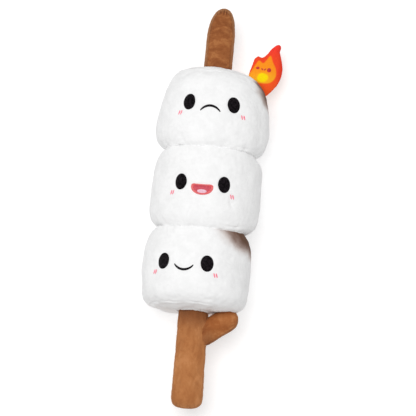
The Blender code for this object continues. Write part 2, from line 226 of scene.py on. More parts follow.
@dataclass(frozen=True)
class Stuffing:
    """How a fabric skin is filled: it is sewn with some slack, and pressed out from inside.

    Attributes:
        voxel: Size of the skin's squares before it is filled.
        slack: Share by which the cloth is sewn larger than its solid.
        head_start: How far inside the solid the skin starts.
        most_move: Cap on how far a vertex moves.
        pressure: Pressure of the filling.
        bending: Bending stiffness of the cloth.
        tension: Tension and compression stiffness of the cloth.
        frames: How many frames the filling takes.
    """

    voxel: float
    slack: float
    head_start: float
    most_move: float
    pressure: float = 4.0
    bending: float = 0.5
    tension: float = 15.0
    frames: int = 20

    def fill(self, piece: bpy.types.Object, held: np.ndarray) -> None:
        """Swells a skin, which stays where it is sewn down.

        Args:
            piece: The skin, a closed mesh of even squares.
            held: How firmly each vertex is sewn down, from 0 to 1.
        """
        rest = read_points(piece)
        write_points(piece, rest - read_normals(piece) * (self.head_start * (1.0 - held))[:, None])
        sewn = piece.vertex_groups.new(name="sewn")
        for index in np.flatnonzero(held > 0.01):
            sewn.add([int(index)], float(held[index]), "REPLACE")
        cloth = piece.modifiers.new("filling", "CLOTH")
        settings = cloth.settings
        settings.tension_stiffness = self.tension
        settings.compression_stiffness = self.tension
        settings.bending_stiffness = self.bending
        settings.use_pressure = True
        settings.uniform_pressure_force = self.pressure
        settings.shrink_min = -self.slack
        settings.effector_weights.gravity = 0.0
        settings.vertex_group_mass = sewn.name
        cloth.point_cache.frame_start = 1
        cloth.point_cache.frame_end = self.frames
        for step in range(1, self.frames + 1):
            bpy.context.scene.frame_set(step)
        apply_modifier(piece, cloth.name)
        bpy.context.scene.frame_set(1)
        moves = read_points(piece) - rest
        lengths = np.maximum(np.linalg.norm(moves, axis=1), 1e-9)
        capped = np.minimum(lengths, self.most_move) / lengths
        write_points(piece, rest + moves * capped[:, None])
        usual, most = np.median(lengths) / MM, lengths.max() / MM
        LOG.info("%s: skin moved by %.2f mm, most %.2f", piece.name, usual, most)
        piece.vertex_groups.clear()


class NodeDesk:
    """Adds and joins the nodes of one material or node group."""

    def __init__(self, tree: bpy.types.NodeTree) -> None:
        """Starts on a node tree."""
        self.tree = tree

    def set_inputs(self, node: bpy.types.Node, values: dict[str | int, object]) -> None:
        """Gives a node's inputs their values, and joins those that are sockets.

        Args:
            node: The node.
            values: Each input's name or number, with a value or a socket.
        """
        for key, value in values.items():
            if isinstance(value, bpy.types.NodeSocket):
                self.tree.links.new(value, node.inputs[key])
            else:
                node.inputs[key].default_value = value

    def add(self, kind: str, values: dict | None = None, **settings: object) -> bpy.types.Node:
        """Adds a node.

        Args:
            kind: The node's type.
            values: What its input sockets get, by name or number: a value, or a socket to join.
            settings: The node's own options.

        Returns:
            The new node.
        """
        node = self.tree.nodes.new(kind)
        for key, value in settings.items():
            setattr(node, key, value)
        self.set_inputs(node, values or {})
        return node

    def math(self, operation: str, first: object, second: object = 0.0) -> bpy.types.NodeSocket:
        """Joins two values by one sum."""
        node = self.add("ShaderNodeMath", {0: first, 1: second}, operation=operation)
        return node.outputs[0]

    def remap(self, value: object, low: float, high: float) -> bpy.types.NodeSocket:
        """Gives 0 where the value reaches low and 1 where it reaches high, with a smooth change between."""
        values = {"Value": value, "From Min": low, "From Max": high}
        node = self.add("ShaderNodeMapRange", values, interpolation_type="SMOOTHSTEP", clamp=True)
        return node.outputs["Result"]

    def mix(self, share: object, first: object, second: object) -> bpy.types.NodeSocket:
        """Mixes two colours."""
        node = self.add("ShaderNodeMix", {0: share, 6: first, 7: second}, data_type="RGBA")
        return node.outputs[2]

    def noise(
        self, vector: object, scale: object, detail: float = 3.0, twist: float = 0.0
    ) -> bpy.types.NodeSocket:
        """Adds soft noise, about 0.5 on average."""
        values = {"Vector": vector, "Scale": scale, "Detail": detail, "Distortion": twist}
        return self.add("ShaderNodeTexNoise", values).outputs["Fac"]

    def relief(self, shader: bpy.types.Node, height: object, strength: float, distance: float) -> None:
        """Gives a shader a fine relief.

        Args:
            shader: The shader.
            height: Socket with the relief's pattern.
            strength: How strongly the relief shows.
            distance: How high it is.
        """
        values = {"Strength": strength, "Distance": distance, "Height": height}
        raised = self.add("ShaderNodeBump", values)
        self.tree.links.new(raised.outputs["Normal"], shader.inputs["Normal"])


def open_group(
    name: str, inputs: Sequence[tuple[str, str]], outputs: Sequence[str]
) -> tuple[bpy.types.NodeTree, NodeDesk, bpy.types.Node, bpy.types.Node]:
    """Starts a shader node group.

    Args:
        name: The group's name.
        inputs: Each input's name and kind, Vector or Float.
        outputs: Each output's name. All are numbers.

    Returns:
        The group, its desk, its input sockets' node and its output sockets' node.
    """
    group = bpy.data.node_groups.new(name, "ShaderNodeTree")
    for title, kind in inputs:
        group.interface.new_socket(name=title, in_out="INPUT", socket_type="NodeSocket" + kind)
    for title in outputs:
        group.interface.new_socket(name=title, in_out="OUTPUT", socket_type="NodeSocketFloat")
    desk = NodeDesk(group)
    return group, desk, desk.add("NodeGroupInput"), desk.add("NodeGroupOutput")


def make_nap_group() -> bpy.types.NodeTree:
    """Makes the group for a brushed pile: soft patches where it lies another way, and its fibres."""
    inputs = (("Coordinates", "Vector"), ("Patch Scale", "Float"), ("Fibre Scale", "Float"))
    group, desk, given, made = open_group("brushed_nap", inputs, ("Patches", "Fibres"))
    coordinates = given.outputs["Coordinates"]
    broad = desk.noise(coordinates, given.outputs["Patch Scale"], 4.0, 0.8)
    fine_scale = desk.math("MULTIPLY", given.outputs["Patch Scale"], 3.7)
    fine = desk.noise(coordinates, fine_scale, 3.0, 0.4)
    both = desk.math("ADD", desk.math("MULTIPLY", broad, 0.65), desk.math("MULTIPLY", fine, 0.35))
    desk.tree.links.new(desk.remap(both, 0.36, 0.64), made.inputs["Patches"])
    fibres = desk.noise(coordinates, given.outputs["Fibre Scale"], 2.0, 1.5)
    desk.tree.links.new(fibres, made.inputs["Fibres"])
    return group


def make_toast_and_shade_group() -> bpy.types.NodeTree:
    """Makes the group for a browned patch, of toasting and, under the middle marshmallow's roll, of painted
    shadow: an oval with uneven soft edges, laid round the stick.
    """
    inputs = (
        ("Coordinates", "Vector"),
        ("Centre X", "Float"),
        ("Azimuth", "Float"),
        ("Along", "Float"),
        ("Half Azimuth", "Float"),
        ("Half Along", "Float"),
    )
    edge_fade, unevenness = 1.3, 0.35
    group, desk, given, made = open_group("toast_and_shade_patch", inputs, ("Distance",))
    place = desk.add("ShaderNodeSeparateXYZ", {"Vector": given.outputs["Coordinates"]})
    across = desk.math("SUBTRACT", place.outputs["X"], given.outputs["Centre X"])
    height = desk.math("SUBTRACT", place.outputs["Z"], AXIS_HEIGHT)
    across_size, height_size = desk.math("ABSOLUTE", across), desk.math("ABSOLUTE", height)
    azimuth = desk.math("ARCTAN2", across, height)
    round_share = desk.math("SUBTRACT", azimuth, given.outputs["Azimuth"])
    round_share = desk.math("DIVIDE", round_share, given.outputs["Half Azimuth"])
    squared = desk.math("ADD", desk.math("POWER", across_size, 2.0), desk.math("POWER", height_size, 2.0))
    past_edge = desk.math("SUBTRACT", END_FACE_REACH, desk.math("SQRT", squared))
    past_edge = desk.math("MULTIPLY", desk.math("MAXIMUM", past_edge, 0.0), edge_fade)
    along_share = desk.math("SUBTRACT", place.outputs["Y"], given.outputs["Along"])
    along_share = desk.math("ADD", desk.math("ABSOLUTE", along_share), past_edge)
    along_share = desk.math("DIVIDE", along_share, given.outputs["Half Along"])
    squares = desk.math("POWER", desk.math("ABSOLUTE", round_share), 2.0)
    squares = desk.math("ADD", squares, desk.math("POWER", desk.math("ABSOLUTE", along_share), 2.0))
    distance = desk.math("SQRT", squares)
    uneven = desk.noise(given.outputs["Coordinates"], 55.0, 3.0, 0.3)
    uneven = desk.math("MULTIPLY", desk.math("SUBTRACT", uneven, 0.5), unevenness)
    desk.tree.links.new(desk.math("ADD", distance, uneven), made.inputs["Distance"])
    return group


@dataclass(frozen=True)
class ToastAndShadePatch:
    """Where a marshmallow is browned, by toasting and on the bottom marshmallow also by painted shadow under
    the middle one's roll: an oval that is laid round the stick.

    Attributes:
        centre_x: Where the marshmallow's middle lies across the toy.
        azimuth_deg: Angle of the oval's middle round the stick, from the front.
        along: Place of the oval's middle along the stick.
        half_azimuth_deg: How far the oval reaches round the stick.
        half_along: How far the oval reaches along the stick.
        heart: Share of its reach that is browned most.
    """

    centre_x: float
    azimuth_deg: float
    along: float
    half_azimuth_deg: float
    half_along: float
    heart: float = 0.46


def start_material(name: str) -> tuple[bpy.types.Material, NodeDesk, bpy.types.Node]:
    """Starts a material.

    Args:
        name: The material's name.

    Returns:
        The material, its desk and its Principled BSDF.
    """
    material = bpy.data.materials.new(name)
    material.use_nodes = True
    return material, NodeDesk(material.node_tree), material.node_tree.nodes["Principled BSDF"]


@dataclass(frozen=True)
class WhitePlush:
    """Short white pile, with browned patches of toasting, the bottom one also holding painted shadow under
    the middle marshmallow's roll.
    """

    name: str
    nap: bpy.types.NodeTree
    browning_group: bpy.types.NodeTree
    patches: tuple[ToastAndShadePatch, ...] = ()
    light: Colour = screen_colour(249, 249, 249)
    shade: Colour = screen_colour(243, 243, 243)
    rim_brown: Colour = screen_colour(214, 204, 200)
    mid_brown: Colour = screen_colour(160, 138, 129)
    deep_brown: Colour = screen_colour(104, 76, 60)

    def make(self) -> bpy.types.Material:
        """Makes the material."""
        material, desk, shader = start_material(self.name)
        coordinates = desk.add("ShaderNodeTexCoord").outputs["Object"]
        values = {"Coordinates": coordinates, "Patch Scale": 70.0, "Fibre Scale": 900.0}
        nap = desk.add("ShaderNodeGroup", values, node_tree=self.nap)
        colour = desk.mix(nap.outputs["Patches"], self.shade, self.light)
        for patch in self.patches:
            colour = self.brown(desk, coordinates, patch, colour)
        surface = {
            "Base Color": colour,
            "Roughness": 1.0,
            "Specular IOR Level": 0.1,
            "Sheen Weight": 0.03,
            "Sheen Roughness": 0.5,
        }
        desk.set_inputs(shader, surface)
        desk.relief(shader, nap.outputs["Fibres"], 0.35, 0.0006)
        return material

    def brown(
        self,
        desk: NodeDesk,
        coordinates: bpy.types.NodeSocket,
        patch: ToastAndShadePatch,
        colour: bpy.types.NodeSocket,
    ) -> bpy.types.NodeSocket:
        """Browns the pile inside one patch, darkest in its middle.

        Args:
            desk: The material's desk.
            coordinates: Socket with the places.
            patch: The patch.
            colour: Socket with the colour so far.

        Returns:
            Socket with the new colour.
        """
        values = {
            "Coordinates": coordinates,
            "Centre X": patch.centre_x,
            "Azimuth": math.radians(patch.azimuth_deg),
            "Along": patch.along,
            "Half Azimuth": math.radians(patch.half_azimuth_deg),
            "Half Along": patch.half_along,
        }
        distance = desk.add("ShaderNodeGroup", values, node_tree=self.browning_group).outputs["Distance"]
        # The three browns run from a patch's rim to its heart; in the bottom patch the deep brown is partly
        # painted shadow under the roll.
        layers = (
            (1.12, 0.82, self.rim_brown),
            (1.00, 0.68, self.mid_brown),
            (0.86, patch.heart, self.deep_brown),
        )
        for start, full, brown in layers:
            colour = desk.mix(desk.remap(distance, start, full), colour, brown)
        return colour


@dataclass(frozen=True)
class BrownVelvet:
    """Brushed brown velvet, lighter and darker where its nap lies one way or the other, with painted sheen
    on its side strips and painted shade in its creases and at its sewn end.
    """

    name: str
    nap: bpy.types.NodeTree
    stretch: tuple[float, float, float] = (1.0, 1.0, 1.0)
    dark: Colour = screen_colour(138, 78, 38)
    middle: Colour = screen_colour(152, 90, 47)
    light: Colour = screen_colour(170, 108, 61)
    side_strip_sheen: Colour = screen_colour(158, 108, 68)
    painted_shade: Colour = screen_colour(104, 54, 26)
    patch_scale: float = 80.0

    def make(self) -> bpy.types.Material:
        """Makes the material."""
        material, desk, shader = start_material(self.name)
        coordinates = desk.add("ShaderNodeTexCoord").outputs["Object"]
        stretched = desk.add("ShaderNodeMapping", {"Vector": coordinates, "Scale": self.stretch})
        values = {
            "Coordinates": stretched.outputs["Vector"],
            "Patch Scale": self.patch_scale,
            "Fibre Scale": 1200.0,
        }
        nap = desk.add("ShaderNodeGroup", values, node_tree=self.nap)
        patches = nap.outputs["Patches"]
        colour = desk.mix(desk.remap(patches, 0.0, 0.55), self.dark, self.middle)
        colour = desk.mix(desk.remap(patches, 0.55, 1.0), colour, self.light)
        # The side strips between the seams get a lighter, greyer brown: painted sheen where the velvet faces
        # sideways.
        strip = desk.add("ShaderNodeAttribute", attribute_name="strip").outputs["Fac"]
        colour = desk.mix(desk.math("MULTIPLY", strip, 0.7), colour, self.side_strip_sheen)
        # The crease share paints shade in the darkest brown: in the seam grooves, the gathers, the hollows
        # of the folds and at the sewn end.
        crease = desk.add("ShaderNodeAttribute", attribute_name="crease").outputs["Fac"]
        surface = {
            "Base Color": desk.mix(crease, colour, self.painted_shade),
            "Roughness": 0.85,
            "Specular IOR Level": 0.25,
            "Sheen Weight": 0.22,
            "Sheen Roughness": 0.45,
            "Sheen Tint": screen_colour(226, 176, 130),
        }
        desk.set_inputs(shader, surface)
        desk.relief(shader, nap.outputs["Fibres"], 0.5, 0.0004)
        return material


@dataclass(frozen=True)
class Thread:
    """Shiny embroidery thread of one colour, mixed from darker strands and lighter ones that are partly the
    thread's own tone and partly painted sheen.
    """

    name: str
    colour: Colour
    deep: Colour
    roughness: float = 0.42
    shine: float = 0.22
    grain: float = 0.4
    strand_scale: float = 1100.0

    def make(self) -> bpy.types.Material:
        """Makes the material."""
        material, desk, shader = start_material(self.name)
        coordinates = desk.add("ShaderNodeTexCoord").outputs["Object"]
        # Lighter strands among darker ones: partly the thread's own tone, partly painted sheen.
        strands = desk.noise(coordinates, self.strand_scale, 2.0, 0.6)
        surface = {
            "Base Color": desk.mix(desk.remap(strands, 0.38, 0.62), self.deep, self.colour),
            "Roughness": self.roughness,
            "Specular IOR Level": self.shine,
            "Sheen Weight": 0.03,
        }
        desk.set_inputs(shader, surface)
        desk.relief(shader, strands, self.grain, 0.0002)
        return material


@dataclass(frozen=True)
class PrintedCloth:
    """Smooth woven cloth whose print is painted on its mesh."""

    name: str
    attribute: str
    weave_pitch: float = 0.0006

    def make(self) -> bpy.types.Material:
        """Makes the material."""
        material, desk, shader = start_material(self.name)
        coordinates = desk.add("ShaderNodeTexCoord").outputs["Object"]
        paint = desk.add("ShaderNodeAttribute", attribute_name=self.attribute).outputs["Color"]
        grain = desk.noise(coordinates, 700.0, 2.0)
        darker = desk.add("ShaderNodeHueSaturation", {"Value": 0.95, "Color": paint})
        surface = {
            "Base Color": desk.mix(desk.remap(grain, 0.35, 0.65), darker.outputs["Color"], paint),
            "Roughness": 0.75,
            "Specular IOR Level": 0.1,
            "Sheen Weight": 0.0,
        }
        desk.set_inputs(shader, surface)
        values = {"Vector": coordinates, "Scale": math.pi / 10.0 / self.weave_pitch}
        threads = [
            desk.add("ShaderNodeTexWave", values, bands_direction=direction).outputs["Fac"]
            for direction in ("X", "Y")
        ]
        desk.relief(shader, desk.math("MAXIMUM", *threads), 0.25, 0.0002)
        return material


@dataclass(frozen=True)
class Finishes:
    """Every finish of the toy, by its slot and, for the plush, by its marshmallow."""

    plush: dict[str, bpy.types.Material]
    velvet: dict[str, bpy.types.Material]
    thread: dict[str, bpy.types.Material]
    flame: bpy.types.Material


def make_finishes() -> Finishes:
    """Makes every finish of the toy."""
    nap = make_nap_group()
    browning_group = make_toast_and_shade_group()
    shoulder = ToastAndShadePatch(
        CENTRE_X["top"], azimuth_deg=99.0, along=0.1160, half_azimuth_deg=47.0, half_along=0.0265
    )
    # The bottom's brown patch is toasting and painted shadow: darkest just under the middle marshmallow's
    # overhanging roll, where shade falls.
    toast_and_roll_shadow = ToastAndShadePatch(
        CENTRE_X["bottom"],
        azimuth_deg=90.0,
        along=-0.0386,
        half_azimuth_deg=74.0,
        half_along=0.0327,
        heart=0.60,
    )
    plush = {
        "top": WhitePlush("plush_top", nap, browning_group, (shoulder,)).make(),
        "middle": WhitePlush("plush_middle", nap, browning_group).make(),
        "bottom": WhitePlush("plush_bottom", nap, browning_group, (toast_and_roll_shadow,)).make(),
    }
    velvet = {
        "tip": BrownVelvet("velvet_tip", nap, (0.7, 1.2, 1.0)).make(),
        "handle": BrownVelvet(
            "velvet_handle",
            nap,
            (1.0, 0.6, 1.0),
            dark=screen_colour(170, 107, 60),
            middle=screen_colour(181, 118, 69),
            light=screen_colour(192, 129, 80),
            side_strip_sheen=screen_colour(182, 126, 80),
            patch_scale=55.0,
        ).make(),
        "branch": BrownVelvet(
            "velvet_branch",
            nap,
            dark=screen_colour(158, 92, 46),
            middle=screen_colour(170, 105, 57),
            light=screen_colour(182, 119, 71),
            patch_scale=60.0,
        ).make(),
    }
    thread = {
        "black_thread": Thread(
            "thread_black",
            screen_colour(30, 24, 29),
            screen_colour(2, 1, 2),
            roughness=0.5,
            shine=0.08,
            grain=0.9,
            strand_scale=520.0,
        ),
        "lip_thread": Thread("thread_lip", screen_colour(240, 130, 130), screen_colour(226, 102, 106)),
        "mouth_thread": Thread("thread_mouth", screen_colour(216, 92, 104), screen_colour(196, 72, 90)),
        "tongue_thread": Thread("thread_tongue", screen_colour(246, 212, 224), screen_colour(232, 190, 208)),
        "blush_thread": Thread("thread_blush", screen_colour(252, 150, 166), screen_colour(247, 121, 144)),
        "ember_thread": Thread("thread_ember", screen_colour(214, 56, 54), screen_colour(180, 38, 44)),
    }
    made = {key: finish.make() for key, finish in thread.items()}
    return Finishes(plush, velvet, made, PrintedCloth("cloth_flame", "print").make())


def dress(piece: bpy.types.Object, finish: bpy.types.Material, nodes: Sequence[str]) -> None:
    """Gives a piece its finish, lets it ride on the toy, and hides the solids that it stands for.

    Args:
        piece: The finished piece.
        finish: Its material.
        nodes: Names of the solids that it replaces.
    """
    piece.data.materials.clear()
    piece.data.materials.append(finish)
    shade_smooth(piece)
    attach(piece, BODY)
    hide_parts(*nodes)
    LOG.info("%s: %d faces", piece.name, len(piece.data.polygons))


@dataclass(frozen=True)
class Seat:
    """Where a stitched patch lies: an angle round a line along Y, and a place along that line.

    Attributes:
        centre_x: Where the line lies across the toy.
        angle_deg: Angle round the line, from the front.
        along: Place along the line.
        tilt_deg: How far the patch is turned in its own plane.
        centre_z: Height of the line.
        hover: How far outside the line the patch starts before it is laid on the surface.
    """

    centre_x: float
    angle_deg: float
    along: float
    tilt_deg: float = 0.0
    centre_z: float = AXIS_HEIGHT
    hover: float = 0.08

    def axes(self) -> tuple[np.ndarray, np.ndarray]:
        """Gives the directions to the patch's right and away from the line."""
        angle = math.radians(self.angle_deg)
        right = np.array((math.cos(angle), 0.0, -math.sin(angle)))
        outward = np.array((math.sin(angle), 0.0, math.cos(angle)))
        return right, outward

    def measure(self, points: np.ndarray) -> tuple[np.ndarray, np.ndarray, np.ndarray]:
        """Gives how far right, along and outward each point is of the seat."""
        right, outward = self.axes()
        from_line = points - np.array((self.centre_x, self.along, self.centre_z))
        return from_line @ right, from_line[:, 1], from_line @ outward

    def lay(self, flat: np.ndarray, tree: BVHTree) -> np.ndarray:
        """Lays flat points on a surface.

        Args:
            flat: Places right, along and above the surface, one a row.
            tree: The surface.

        Returns:
            The places in the toy's frame.
        """
        right, outward = self.axes()
        tilt = math.radians(self.tilt_deg)
        across = flat[:, 0] * math.cos(tilt) + flat[:, 1] * math.sin(tilt)
        along = flat[:, 1] * math.cos(tilt) - flat[:, 0] * math.sin(tilt)
        start = np.array((self.centre_x, self.along, self.centre_z)) + outward * self.hover
        starts = start + across[:, None] * right
        starts[:, 1] += along
        down = Vector(-outward)
        laid = np.empty_like(starts)
        for index, place in enumerate(starts):
            hit = tree.ray_cast(Vector(place), down)[0]
            laid[index] = place if hit is None else hit
        return laid + flat[:, 2][:, None] * outward


class StitchPattern(Enum):
    """Shapes that the faces are stitched in."""

    OVAL = "oval"
    STROKE = "stroke"
    RING = "ring"


@dataclass(frozen=True)
class Embroidery:
    """A patch of satin stitch: its outline, how high it stands and how its threads run.

    Attributes:
        name: Name of the piece.
        nodes: Names of the solids that it replaces.
        slot: Its material slot.
        seat: Where it lies.
        pattern: Its shape.
        half_width: Half its width, for an oval or a ring.
        above: How far it reaches above its seat.
        below: How far it reaches below its seat.
        squareness: Power of its upper half's curve: 2 is round, and more is squarer.
        dip: How far the middle of its upper edge sags, as a share of above.
        border: Width of a ring at its sides, top and base.
        bend_radius: Radius that a stroke is bent to.
        half_angle_deg: Half the angle that a stroke covers.
        turn_deg: How far a stroke is turned.
        line_width: Width of a stroke.
        taper: How much a stroke narrows at its ends.
        height: Height of its middle above the pile.
        edge_height: Height of its edge above the pile.
        thread_pitch: Distance from one thread to the next.
        thread_relief: How far the threads stand out.
        buried: How deep it goes below its surface.
        press_depth: How far it presses the pile down.
        samples_a_thread: Rows of faces for each thread.
    """

    name: str
    nodes: tuple[str, ...]
    slot: str
    seat: Seat
    pattern: StitchPattern
    half_width: float = 0.0
    above: float = 0.0
    below: float = 0.0
    squareness: float = 2.0
    dip: float = 0.0
    border: tuple[float, float, float] = (0.0, 0.0, 0.0)
    bend_radius: float = 0.0
    half_angle_deg: float = 0.0
    turn_deg: float = 0.0
    line_width: float = 0.0
    taper: float = 0.86
    height: float = 0.0009
    edge_height: float = 0.0003
    thread_pitch: float = 0.0007
    thread_relief: float = 0.00012
    buried: float = 0.0012
    press_depth: float = 0.0006
    samples_a_thread: int = 5

    def outline(
        self, angle: np.ndarray, trim: Sequence[float] = (0.0, 0.0, 0.0)
    ) -> tuple[np.ndarray, np.ndarray]:
        """Gives a ring's outer or inner outline.

        Args:
            angle: Angles round the ring's seat.
            trim: How much smaller the outline is at the sides, top and base.

        Returns:
            How far right and how far along each point lies.
        """
        across, up = np.cos(angle), np.sin(angle)
        power = 2.0 / self.squareness
        square_x = np.sign(across) * np.abs(across) ** power
        square_y = np.abs(up) ** power - self.dip * np.abs(up) * (1.0 - across * across)
        x = (self.half_width - trim[0]) * np.where(up > 0.0, square_x, across)
        y = np.where(up > 0.0, (self.above - trim[1]) * square_y, (self.below - trim[2]) * up)
        return x, y

    def grid_counts(self) -> tuple[int, int]:
        """Gives how many columns and rows of faces the patch needs for its threads to show."""
        fine = self.thread_pitch / self.samples_a_thread
        if self.pattern is StitchPattern.OVAL:
            return 20, round((self.above + self.below) / fine)
        if self.pattern is StitchPattern.STROKE:
            length = 2.0 * self.bend_radius * math.radians(self.half_angle_deg)
            return max(8, round(length / fine)), 8
        return round(math.pi * (self.half_width + (self.above + self.below) / 2) / fine), 8

    def form(self, u: np.ndarray, v: np.ndarray) -> np.ndarray:
        """Gives the patch's flat places and heights from its grid, whose sides run from -1 to 1."""
        if self.pattern is StitchPattern.OVAL:
            return self.form_oval(u, v)
        if self.pattern is StitchPattern.STROKE:
            return self.form_stroke(u, v)
        return self.form_ring(u, v)

    def crown(self, edge_share: np.ndarray, thread_place: np.ndarray) -> np.ndarray:
        """Gives the padded height at a share of the way to the edge, with its threads."""
        dome = np.sqrt(np.clip(1.0 - edge_share**2, 0.0, 1.0))
        threads = self.thread_relief * np.cos(math.tau * thread_place / self.thread_pitch)
        return self.edge_height + (self.height - self.edge_height) * dome + threads

    def form_oval(self, u: np.ndarray, v: np.ndarray) -> np.ndarray:
        """Forms an oval whose threads run from side to side."""
        rise = np.where(v > 0.0, self.above, self.below)
        power = np.where(v > 0.0, self.squareness, 2.0)
        half = self.half_width * np.clip(1.0 - np.abs(v) ** power, 0.0, 1.0) ** (1.0 / power)
        along = v * rise
        stagger = 1.0 + 0.012 * np.cos(math.tau * along / self.thread_pitch)
        across = u * half * stagger
        along = np.where(v > 0.0, along * (1.0 - self.dip * (1.0 - u * u)), along)
        edge = np.sqrt(np.clip((u * (1 - v * v) ** 0.5) ** 2 + v * v, 0.0, 1.0))
        return np.column_stack((across, along, self.crown(edge, along)))

    def form_stroke(self, u: np.ndarray, v: np.ndarray) -> np.ndarray:
        """Forms a bent stroke whose threads run across it."""
        angle = u * math.radians(self.half_angle_deg)
        narrow = np.sqrt(np.clip(1.0 - self.taper * u * u, 0.0, 1.0))
        reach = self.bend_radius + v * self.line_width / 2 * narrow
        x = reach * np.sin(angle)
        y = reach * np.cos(angle) - self.bend_radius
        turn = math.radians(self.turn_deg)
        across = x * math.cos(turn) - y * math.sin(turn)
        along = x * math.sin(turn) + y * math.cos(turn)
        return np.column_stack((across, along, self.crown(v, self.bend_radius * angle) * narrow))

    def form_ring(self, u: np.ndarray, v: np.ndarray) -> np.ndarray:
        """Forms a ring whose threads run across it."""
        angle = u * math.pi
        outer_x, outer_y = self.outline(angle)
        inner_x, inner_y = self.outline(angle, self.border)
        share = (v + 1.0) / 2.0
        across = outer_x * share + inner_x * (1.0 - share)
        along = outer_y * share + inner_y * (1.0 - share)
        perimeter = math.pi * (self.half_width + (self.above + self.below) / 2)
        threads = round(perimeter / self.thread_pitch) * self.thread_pitch
        return np.column_stack((across, along, self.crown(v, u * threads / 2)))

    def press(self, points: np.ndarray, normals: np.ndarray) -> np.ndarray:
        """Presses the pile down under the stitches and just round them.

        Args:
            points: The pile's vertices.
            normals: Their normals.

        Returns:
            The moved vertices.
        """
        if self.pattern is StitchPattern.STROKE:
            half_angle = math.radians(self.half_angle_deg)
            half_width = self.bend_radius * math.sin(half_angle)
            above = self.line_width
            below = self.bend_radius * (1 - math.cos(half_angle))
            if abs(self.turn_deg) > 90.0:
                above, below = below, above
        else:
            half_width, above, below = self.half_width, self.above, self.below
        least, rim = 0.001, 0.0025
        right, along, outward = self.seat.measure(points)
        rise = np.where(along > 0.0, max(above, least), max(below, least))
        share = np.hypot(right / max(half_width, least), along / rise)
        margin = rim / max(half_width, 4 * least)
        depth = self.press_depth * smooth_step(share, 1.0 + margin, 1.0 - margin / 2)
        depth = np.where(outward > 0.0, depth, 0.0)
        return points - normals * depth[:, None]

    def build(self, tree: BVHTree, finishes: Finishes) -> bpy.types.Object:
        """Stitches the patch onto a surface.

        Args:
            tree: The surface that it lies on.
            finishes: Every finish.

        Returns:
            The new piece.
        """
        columns, rows = self.grid_counts()
        bpy.ops.object.select_all(action="DESELECT")
        bpy.ops.mesh.primitive_grid_add(x_subdivisions=columns, y_subdivisions=rows, size=2.0)
        piece = bpy.context.object
        piece.name = self.name
        piece.data.name = self.name
        corners = read_points(piece)
        flat = self.form(corners[:, 0], corners[:, 1])
        write_points(piece, self.seat.lay(flat, tree))
        bpy.ops.object.mode_set(mode="EDIT")
        bpy.ops.mesh.select_all(action="SELECT")
        bpy.ops.mesh.remove_doubles(threshold=MERGE_DISTANCE / 10)
        bpy.ops.object.mode_set(mode="OBJECT")
        facing = np.empty(len(piece.data.polygons) * 3)
        piece.data.polygons.foreach_get("normal", facing)
        if np.sum(facing.reshape(-1, 3) @ self.seat.axes()[1]) < 0.0:
            piece.data.flip_normals()
        body = piece.modifiers.new("body", "SOLIDIFY")
        body.thickness = self.buried
        body.offset = -1.0
        apply_modifier(piece, body.name)
        dress(piece, finishes.thread[self.thread_key()], self.nodes)
        return piece

    def thread_key(self) -> str:
        """Gives the name of the thread that the patch is stitched with."""
        return self.slot if self.nodes else "ember_thread"


